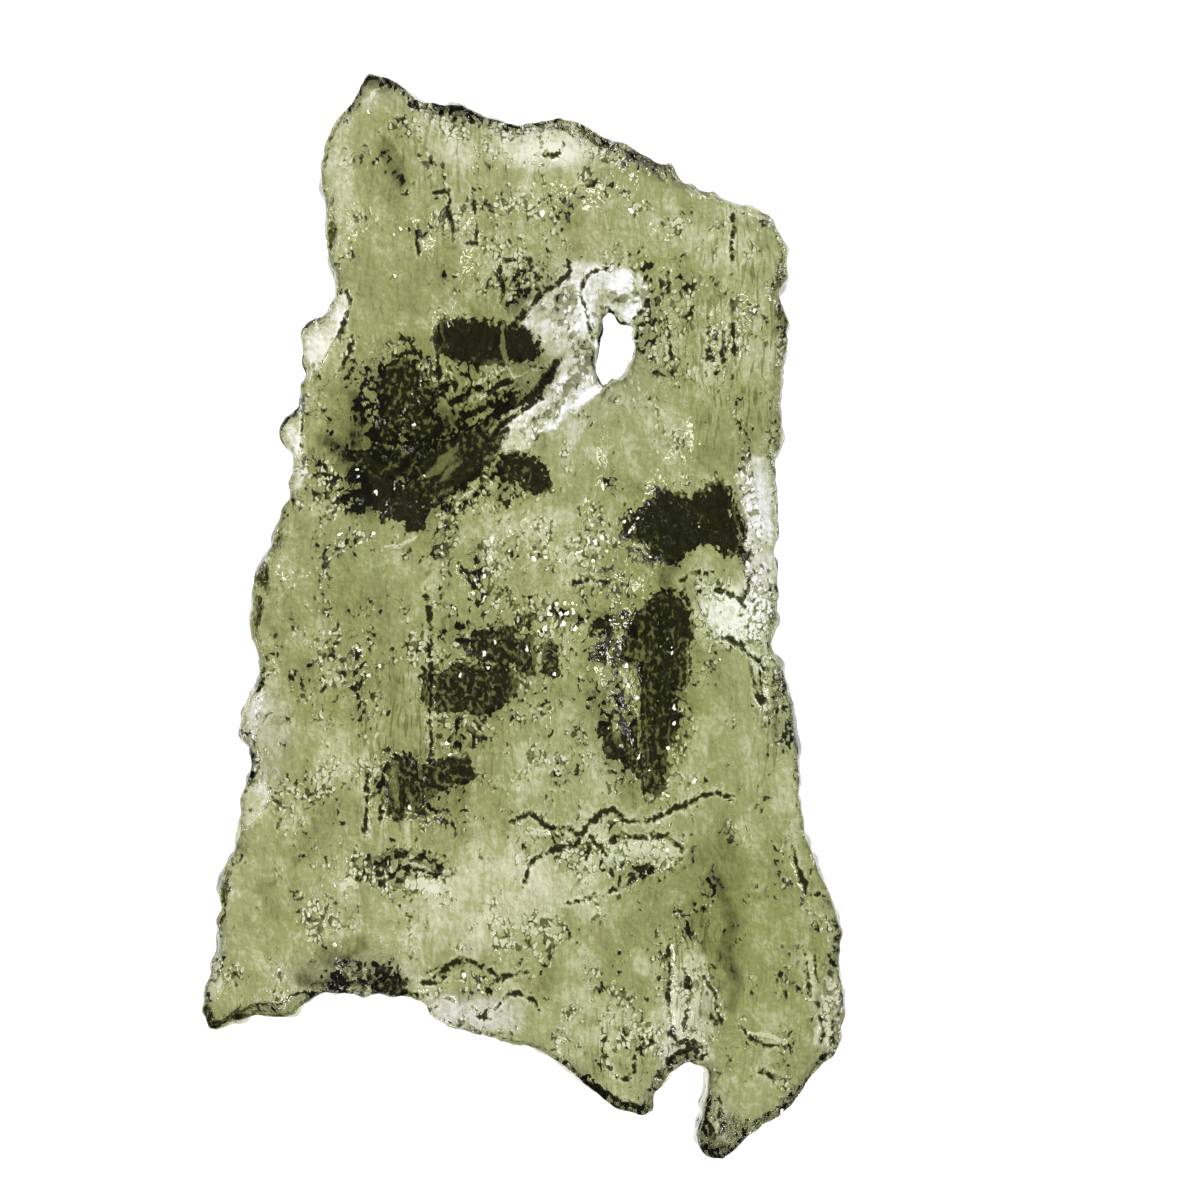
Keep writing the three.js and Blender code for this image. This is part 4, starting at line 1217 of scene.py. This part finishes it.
def stone_skin():
    """The mesh of the whole stone, before it is etched."""
    solid = merged_solid()
    tree = BVHTree.FromBMesh(solid)
    rims = rims_of(solid)
    solid.free()
    edges = [rim - out * bulge for rim, out, bulge in rims]
    back = face_of_stone(tree, rims, edges, True)
    belly = face_of_stone(tree, rims, edges, False)
    skin = Skin()
    back_numbers = skin.add_face(back, back.triangles, 1.0)
    belly_numbers = skin.add_face(belly, belly.triangles[:, ::-1], 0.0)
    first = 0
    for rim, out, bulge in rims:
        ring = slice(first, first + len(rim))
        rings = (back_numbers[ring], belly_numbers[ring])
        skin.add_wall(rim, out, bulge, rings, (back.heights[ring], belly.heights[ring]))
        first += len(rim)
    fields = glass_fields(np.vstack(skin.marks), edges)
    fields["side"] = np.concatenate(skin.side)
    fields["worn"] = np.concatenate(skin.worn) / MM
    fields["room"] = smoothstep(np.concatenate(skin.room), THINNEST_RELIEF, FULL_RELIEF_THICKNESS)
    return skin_mesh(np.vstack(skin.places), np.vstack(skin.faces), fields)


# Node trees

def join(tree, value, socket):
    """Links an output to an input, or sets a plain value on it."""
    if isinstance(value, bpy.types.NodeSocket):
        tree.links.new(value, socket)
    else:
        socket.default_value = value


def add(tree, kind, output=0, settings=None, **inputs):
    """A node with its settings and inputs, given back as one of its outputs."""
    made = tree.nodes.new(kind)
    for name, value in (settings or {}).items():
        setattr(made, name, value)
    for name, value in inputs.items():
        join(tree, value, made.inputs[name.replace("_", " ")])
    return made.outputs[output]


def calc(tree, operation, *values):
    """A sum on plain numbers."""
    made = tree.nodes.new("ShaderNodeMath")
    made.operation = operation
    for socket, value in zip(made.inputs, values):
        join(tree, value, socket)
    return made.outputs[0]


def vector_calc(tree, operation, *values):
    """A sum on vectors or colours."""
    made = tree.nodes.new("ShaderNodeVectorMath")
    made.operation = operation
    for socket, value in zip([made.inputs[0], made.inputs[3 if operation == "SCALE" else 1]], values):
        join(tree, value, socket)
    return made.outputs["Value" if operation == "DOT_PRODUCT" else "Vector"]


def total(tree, *values):
    result = values[0]
    for value in values[1:]:
        result = calc(tree, "ADD", result, value)
    return result


def product(tree, *values):
    result = values[0]
    for value in values[1:]:
        result = calc(tree, "MULTIPLY", result, value)
    return result


def above_middle(tree, value, gain):
    """A noise from 0 to 1, turned to swing about nought."""
    return product(tree, calc(tree, "SUBTRACT", value, 0.5), gain)


def step(tree, name, value):
    """The value taken over one of the named soft steps."""
    made = tree.nodes.new("ShaderNodeMapRange")
    made.interpolation_type = "SMOOTHSTEP"
    join(tree, value, made.inputs["Value"])
    for socket, number in zip(("From Min", "From Max", "To Min", "To Max"), STEPS[name]):
        made.inputs[socket].default_value = number
    return made.outputs["Result"]


def blend(tree, kind, share, first, second):
    """A mix of two colours or of two vectors."""
    made = tree.nodes.new("ShaderNodeMix")
    made.data_type = kind
    first_input, output = {"VECTOR": (4, 1), "RGBA": (6, 2)}[kind]
    for socket, value in zip((0, first_input, first_input + 1), (share, first, second)):
        join(tree, value, made.inputs[socket])
    return made.outputs[output]


def field(tree, name):
    """One of the skin's fields, for a tree of either kind."""
    if tree.type == "GEOMETRY":
        return add(tree, "GeometryNodeInputNamedAttribute", Name=name)
    return add(tree, "ShaderNodeAttribute", "Fac", settings={"attribute_name": name})


# The etched skin: flutes, pits and grain

SKIN_INPUTS = {
    "Flute Pitch": FLUTE_PITCH, "Flute Length": FLUTE_LENGTH, "Flute Depth": FLUTE_DEPTH,
    "Pit Spacing": PIT_SPACING, "Pit Depth": PIT_DEPTH,
    "Grain Size": GRAIN_SIZE, "Grain Depth": GRAIN_DEPTH,
}


def skin_inputs(tree):
    """The tree's named inputs, given back as the outputs of its input node."""
    tree.interface.new_socket("Geometry", in_out="INPUT", socket_type="NodeSocketGeometry")
    for name, value in SKIN_INPUTS.items():
        socket = tree.interface.new_socket(name, in_out="INPUT", socket_type="NodeSocketFloat")
        socket.default_value = value
    seed = tree.interface.new_socket("Seed", in_out="INPUT", socket_type="NodeSocketInt")
    seed.default_value = SKIN_SEED
    tree.interface.new_socket("Geometry", in_out="OUTPUT", socket_type="NodeSocketGeometry")
    return tree.nodes.new("NodeGroupInput").outputs


def skin_relief(tree, given):
    """How far each corner of the skin is pushed outwards."""
    place = add(tree, "GeometryNodeInputPosition")
    offset = add(tree, "ShaderNodeCombineXYZ", Z=given["Seed"])

    def per_length(x, y):
        across = calc(tree, "DIVIDE", 1.0, x)
        scale = add(tree, "ShaderNodeCombineXYZ", X=across, Y=calc(tree, "DIVIDE", 1.0, y), Z=across)
        return vector_calc(tree, "ADD", vector_calc(tree, "MULTIPLY", place, scale), offset)

    def waves(x, y, detail):
        made = add(tree, "ShaderNodeTexNoise", Vector=per_length(x, y), Scale=1.0, Detail=detail)
        return above_middle(tree, made, 2.0)

    flutes = waves(given["Flute Pitch"], given["Flute Length"], FLUTE_DETAIL)
    flutes = product(tree, flutes, given["Flute Depth"])
    grain = waves(given["Grain Size"], given["Grain Size"], GRAIN_DETAIL)
    grain = product(tree, grain, given["Grain Depth"])
    pit_places = per_length(given["Pit Spacing"], product(tree, given["Pit Spacing"], PIT_STRETCH))
    pits = add(tree, "ShaderNodeTexVoronoi", "Distance", Scale=1.0, Randomness=1.0, Vector=pit_places)
    pits = product(tree, step(tree, "pit wall", pits), given["Pit Depth"])
    rough = field(tree, "rough")
    relief = product(tree, flutes, step(tree, "flutes where rough", rough))
    relief = total(tree, relief, product(tree, grain, rough))
    relief = calc(tree, "SUBTRACT", relief, product(tree, pits, rough))
    return product(
        tree, relief, step(tree, "relief where thick", field(tree, "room")),
        step(tree, "relief where dark", field(tree, "dark")),
        step(tree, "relief where worn", field(tree, "worn")))


def etching_tree(material):
    """Geometry nodes that push the skin in and out along its slopes."""
    tree = bpy.data.node_groups.new("etched_skin", "GeometryNodeTree")
    given = skin_inputs(tree)
    push = vector_calc(tree, "SCALE", add(tree, "GeometryNodeInputNormal"), skin_relief(tree, given))
    moved = add(tree, "GeometryNodeSetPosition", Geometry=given["Geometry"], Offset=push)
    smooth = add(tree, "GeometryNodeSetShadeSmooth", Geometry=moved)
    real = add(tree, "GeometryNodeRealizeInstances", Geometry=smooth)
    done = add(tree, "GeometryNodeSetMaterial", Geometry=real, Material=material)
    tree.links.new(done, tree.nodes.new("NodeGroupOutput").inputs["Geometry"])
    return tree


def etched(stone, material):
    """The stone with its skin etched, as a plain mesh."""
    modifier = stone.modifiers.new("etched_skin", "NODES")
    modifier.node_group = etching_tree(material)
    for item in modifier.node_group.interface.items_tree:
        if item.in_out == "INPUT" and item.name in SKIN_INPUTS:
            modifier[item.identifier] = SKIN_INPUTS[item.name]
    seen = stone.evaluated_get(bpy.context.evaluated_depsgraph_get())
    mesh = bpy.data.meshes.new_from_object(seen)
    stone.modifiers.clear()
    stone.data = mesh
    return mesh


def kept_in_box(mesh):
    """No corner outside the solid's box, so the stone still rests on its belly."""
    places = np.empty(len(mesh.vertices) * 3, np.float32)
    mesh.vertices.foreach_get("co", places)
    places = np.clip(places.reshape(-1, 3), CAD_BOX[0], CAD_BOX[1])
    mesh.vertices.foreach_set("co", places.ravel())
    mesh.update()


# The glass

def grain_of(tree):
    """The fields, and the flakes, cells and scratches that the finish is made of."""
    def flat_noise(place, scale, detail):
        return add(tree, "ShaderNodeTexNoise", settings={"noise_dimensions": "2D"},
                   Vector=place, Scale=scale, Detail=detail)

    place = add(tree, "ShaderNodeCombineXYZ", X=field(tree, "grain_x"), Y=field(tree, "grain_y"))
    flakes = flat_noise(place, FLAKES_PER_MM, FLAKE_DETAIL)
    beside = vector_calc(tree, "ADD", place, RELIEF_SHADE_SHIFT_MM)
    crumple = vector_calc(tree, "SCALE", flakes.node.outputs["Color"], GRAIN_CRUMPLE)
    crumpled = vector_calc(tree, "ADD", place, crumple)
    cells = add(tree, "ShaderNodeTexVoronoi", settings={"voronoi_dimensions": "2D"},
                Vector=crumpled, Scale=CELLS_PER_MM).node.outputs
    lots = add(tree, "ShaderNodeSeparateColor", Color=cells["Color"]).node.outputs
    streaks = vector_calc(tree, "MULTIPLY", place, SCRATCHES_PER_MM)
    return SimpleNamespace(
        dark=field(tree, "dark"), room=field(tree, "room"), clear=field(tree, "clear"),
        sparkle=field(tree, "sparkle"),
        flakes=flakes, flakes_beside=flat_noise(beside, FLAKES_PER_MM, FLAKE_DETAIL),
        scratches=flat_noise(streaks, 1.0, 1.0), furrows=flat_noise(crumpled, FURROWS_PER_MM, 1.0),
        cells=cells, lots=lots, from_middle=cells["Distance"], crumpled=crumpled)


def smooth_shade(tree, grain):
    """The smooth skin between the clusters of grains, with a little painted relief shading, and scratched.
    """
    # Painted relief shading: lighter on one side of each flake and darker on the other
    relief_shade = product(tree, calc(tree, "SUBTRACT", grain.flakes, grain.flakes_beside), PAINTED_RELIEF_SHADE)
    scratch = step(tree, "scratch", grain.scratches)
    scratch = product(tree, scratch, field(tree, "scratched"), SCRATCH_SHADE)
    return calc(tree, "SUBTRACT", total(tree, grain.clear, relief_shade), scratch)


def clusters_of_grains(tree, grain):
    """Grains painted light in their middles, brightest as glints where the skin sparkles, and painted black
    in their gaps as shade: their shade, their light, where they are.
    """
    near_dark = step(tree, "near dark", grain.dark)
    clearer = product(tree, calc(tree, "SUBTRACT", grain.clear, LUCK_MIDDLE), LUCK_OF_CLEARNESS)
    luck = total(tree, grain.lots["Red"], clearer)
    luck = calc(tree, "SUBTRACT", luck, product(tree, near_dark, LUCK_LOST_NEAR_DARK))
    lucky = total(tree, luck, product(tree, grain.sparkle, LUCK_OF_SPARKLES))
    # Painted light in the grains' middles, brightest as glints where the skin sparkles
    bright = product(
        tree, step(tree, "grain middle", grain.from_middle), step(tree, "grain is bright", lucky))
    # Painted shade in the grains' gaps
    border = product(
        tree, step(tree, "grain border", grain.from_middle), step(tree, "grain has a gap", luck))
    gaps = calc(tree, "MAXIMUM", border, step(tree, "grain is black", luck))
    shade = total(tree, grain.clear, product(tree, bright, step(tree, "bright gain", grain.sparkle)))
    shade = calc(tree, "SUBTRACT", shade, product(tree, gaps, GAP_SHADE))
    cluster = total(
        tree, field(tree, "grit"), above_middle(tree, grain.flakes, CLUSTER_FLAKES),
        product(tree, near_dark, CLUSTER_NEAR_DARK), product(tree, grain.sparkle, CLUSTER_SPARKLES))
    cluster = product(
        tree, step(tree, "cluster", cluster), step(tree, "cluster where thick", grain.room))
    return shade, bright, cluster


def furrow_shade(tree, grain):
    """Painted shade of fine furrows between the grains, which are not cut into the skin."""
    depth = total(
        tree, field(tree, "grit"), step(tree, "furrows where thin", grain.room),
        above_middle(tree, grain.flakes, FURROW_FLAKES))
    furrow = calc(tree, "ABSOLUTE", calc(tree, "SUBTRACT", grain.furrows, 0.5))
    return product(tree, step(tree, "furrow", furrow), step(tree, "furrow depth", depth))


def with_painted_dark_patches(tree, grain, shade, bright, cluster):
    """The shade with its dark patches painted near black as shade, in which some flakes, folds, grains and
    scratches show.
    """
    ragged = total(
        tree, grain.dark, above_middle(tree, grain.flakes, DARK_FLAKES),
        above_middle(tree, grain.lots["Red"], DARK_CELLS))
    flakes = product(
        tree, step(tree, "flakes in dark", grain.flakes),
        step(tree, "flakes where rough", field(tree, "rough")))
    scratches = product(
        tree, step(tree, "scratch in dark", grain.scratches), field(tree, "scratched"), SCRATCHES_IN_DARK)
    inner = total(
        tree, flakes, step(tree, "folds in dark", field(tree, "flow")),
        product(tree, bright, cluster, BRIGHT_IN_DARK), scratches)
    return add(tree, "ShaderNodeMix", Factor=step(tree, "dark patch", ragged), A=shade, B=inner)


def with_lines(tree, grain, shade):
    """The shade with pale crests painted as highlights, dark lines painted as the shade of their grooves in
    pale halos painted as highlights, and a thin dark line painted along the rim as its shade.
    """
    # Pale crests and facets painted lighter as highlights
    crest_highlight = total(tree, field(tree, "pale"), above_middle(tree, grain.flakes, CREST_HIGHLIGHT_FLAKES))
    shade = total(tree, shade, step(tree, "crest_highlight", crest_highlight))
    ragged = total(
        tree, field(tree, "line"), above_middle(tree, grain.flakes, LINE_FLAKES),
        above_middle(tree, grain.lots["Red"], LINE_CELLS))
    # A painted highlight along both sides of each dark line
    halo = product(tree, step(tree, "halo near", ragged), step(tree, "halo far", ragged))
    shade = total(tree, shade, product(tree, halo, HALO_LIGHT))
    # The dark lines painted as the shade of their grooves
    shade = product(tree, shade, step(tree, "line", ragged))
    # A thin dark line painted along the rim as its shade
    rim_line = product(tree, field(tree, "rim"), step(tree, "rim line", grain.flakes))
    return calc(tree, "SUBTRACT", shade, rim_line)


def shade_colour(tree, shade):
    """From black through dark olive and green to clear."""
    made = tree.nodes.new("ShaderNodeValToRGB")
    stops = made.color_ramp.elements
    while len(stops) < len(SHADE_COLOURS):
        stops.new(0.5)
    for stop, (position, colour) in zip(stops, SHADE_COLOURS):
        stop.position = position / CLEAREST_SHADE
        stop.color = (*colour, 1)
    join(tree, calc(tree, "DIVIDE", shade, CLEAREST_SHADE), made.inputs["Fac"])
    return made.outputs["Color"]


def lost_with_wear(tree):
    """The light that the worn glass would have taken: a bank keeps the colour that it had before."""
    kept = tree.nodes.new("ShaderNodeCombineXYZ")
    for socket, clear in zip(kept.inputs, GLASS_CLEARNESS):
        share = math.exp(-2 * GLASS_DENSITY * (1 - clear) * MM)
        join(tree, calc(tree, "POWER", share, field(tree, "worn")), socket)
    return kept.outputs[0]


def skin_colour(tree, shade):
    """The colour of the skin: warmer or cooler green, or grey, and white towards the belly."""
    tint = blend(tree, "RGBA", field(tree, "warm"), COOL_TINT, WARM_TINT)
    tint = blend(tree, "RGBA", field(tree, "grey"), tint, GREY_TINT)
    tinted = vector_calc(tree, "MULTIPLY", shade_colour(tree, shade), tint)
    tinted = vector_calc(tree, "MULTIPLY", tinted, lost_with_wear(tree))
    return blend(tree, "RGBA", step(tree, "weaker on the belly", field(tree, "side")), WHITE, tinted)


def skin_slopes(tree, grain, cluster):
    """The grains' own slopes, and tiny facets that lean towards a lamp."""
    from_middle = vector_calc(tree, "SUBTRACT", grain.crumpled, grain.cells["Position"])
    lean = vector_calc(tree, "SUBTRACT", grain.cells["Color"], (0.5, 0.5, 0.5))
    slopes = product(tree, vector_calc(tree, "DOT_PRODUCT", from_middle, lean), cluster, GRAIN_SLOPES)
    slopes = total(tree, slopes, product(tree, grain.flakes, FLAKE_SLOPES))
    gentle = product(
        tree, step(tree, "slopes where thick", grain.room), step(tree, "slopes where dark", grain.dark),
        step(tree, "weaker on the belly", field(tree, "side")))
    bump = add(tree, "ShaderNodeBump", Strength=1.0, Distance=MM, Height=product(tree, slopes, gentle))
    chance = total(
        tree, product(tree, grain.sparkle, FACETS_IN_SPARKLES), product(tree, cluster, FACETS_IN_CLUSTERS))
    chosen = product(
        tree, calc(tree, "GREATER_THAN", chance, grain.lots["Blue"]),
        calc(tree, "LESS_THAN", grain.from_middle, FACET_SIZE),
        calc(tree, "GREATER_THAN", field(tree, "side"), BACK_ONLY))
    return blend(tree, "VECTOR", chosen, bump, leaning_facet(tree, grain.lots["Green"]))


def leaning_facet(tree, lot):
    """A slope that leans by the facets' tilt, to the side that the lot says."""
    turn = product(tree, lot, 2 * math.pi)
    way = add(tree, "ShaderNodeCombineXYZ", Z=math.cos(FACET_TILT),
              X=product(tree, calc(tree, "COSINE", turn), math.sin(FACET_TILT)),
              Y=product(tree, calc(tree, "SINE", turn), math.sin(FACET_TILT)))
    return add(tree, "ShaderNodeVectorTransform", Vector=way, settings={
        "vector_type": "NORMAL", "convert_from": "OBJECT", "convert_to": "WORLD"})


def glass():
    """See-through green glass whose skin has one shade value, from clear down to 0, black, which holds
    painted light and shade as well as the glass's tone.
    """
    material = bpy.data.materials.new("bottle_green_glass")
    material.use_nodes = True
    tree = material.node_tree
    shader = tree.nodes["Principled BSDF"]
    shader.inputs["Transmission Weight"].default_value = 1
    shader.inputs["IOR"].default_value = GLASS_BEND
    shader.inputs["Roughness"].default_value = GLASS_ROUGHNESS

    grain = grain_of(tree)
    grains, bright, cluster = clusters_of_grains(tree, grain)
    shade = add(tree, "ShaderNodeMix", Factor=cluster, A=smooth_shade(tree, grain), B=grains)
    shade = calc(tree, "SUBTRACT", shade, furrow_shade(tree, grain))
    shade = total(tree, shade, step(tree, "lighter where thin", grain.room))
    shade = with_painted_dark_patches(tree, grain, shade, bright, cluster)
    shade = with_lines(tree, grain, shade)
    join(tree, skin_colour(tree, shade), shader.inputs["Base Color"])
    join(tree, skin_slopes(tree, grain, cluster), shader.inputs["Normal"])

    absorb = tree.nodes.new("ShaderNodeVolumeAbsorption")
    absorb.inputs["Color"].default_value = GLASS_CLEARNESS + (1,)
    absorb.inputs["Density"].default_value = GLASS_DENSITY
    tree.links.new(absorb.outputs["Volume"], tree.nodes["Material Output"].inputs["Volume"])
    return material


def make_stone():
    """The one piece, which takes the place of the plain solid."""
    material = glass()
    stone = bpy.data.objects.new(STONE + "_glass", stone_skin())
    bpy.context.scene.collection.objects.link(stone)
    kept_in_box(etched(stone, material))
    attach(stone, "root")
    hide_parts(STONE)


# The light table, the lamps and the camera

def make_light_table():
    """A pale floor that glows evenly, just below the stone."""
    half = TABLE_HALF_WIDTH
    corners = [(-half, -half), (half, -half), (half, half), (-half, half)]
    mesh = bpy.data.meshes.new("light_table")
    mesh.from_pydata([(x, y, -TABLE_GAP) for x, y in corners], [], [(0, 1, 2, 3)])
    table = bpy.data.objects.new("light_table", mesh)
    bpy.context.scene.collection.objects.link(table)
    material = bpy.data.materials.new("pale_glow")
    material.use_nodes = True
    shader = material.node_tree.nodes["Principled BSDF"]
    shader.inputs["Base Color"].default_value = (0.0, 0.0, 0.0, 1)
    shader.inputs["Specular IOR Level"].default_value = 0
    shader.inputs["Emission Color"].default_value = WHITE
    shader.inputs["Emission Strength"].default_value = TABLE_GLOW
    mesh.materials.append(material)


def make_lamp(name, place):
    """A small round lamp that faces the stone."""
    light = bpy.data.lights.new(name, "AREA")
    light.shape = "DISK"
    light.size = LAMP_SIZE
    light.energy = LAMP_WATTS
    light.color = LAMP_COLOUR
    lamp = bpy.data.objects.new(name, light)
    bpy.context.scene.collection.objects.link(lamp)
    lamp.location = place
    lamp.rotation_euler = (-Vector(place)).to_track_quat("-Z", "Y").to_euler()


def make_studio():
    """A dim room, and a ring of lamps that only the skin's leaning facets catch."""
    world = bpy.data.worlds.new("studio")
    world.use_nodes = True
    world.node_tree.nodes["Background"].inputs["Color"].default_value = ROOM_COLOUR
    bpy.context.scene.world = world
    for number in range(LAMPS):
        turn = 2 * math.pi * (number + LAMP_RING_TURN) / LAMPS
        place = (LAMP_RING * math.cos(turn), LAMP_RING * math.sin(turn), LAMP_HEIGHT)
        make_lamp("lamp_%d" % (number + 1), place)
    bpy.context.scene.view_settings.view_transform = "Standard"


def make_camera():
    """Straight above, with the photograph's frame."""
    camera = bpy.data.cameras.new("camera")
    camera.sensor_width = SENSOR_MM
    camera.lens = LENS_MM
    camera.clip_start = NEAREST_SEEN
    looker = bpy.data.objects.new("camera", camera)
    bpy.context.scene.collection.objects.link(looker)
    x, y = px(PHOTO_SIDE_PX / 2, PHOTO_SIDE_PX / 2)
    away = PHOTO_SIDE_PX * PIXEL * LENS_MM / SENSOR_MM
    looker.location = (x, y, away + FRAME_HEIGHT)
    bpy.context.scene.camera = looker


make_camera()
make_studio()
make_light_table()
make_stone()
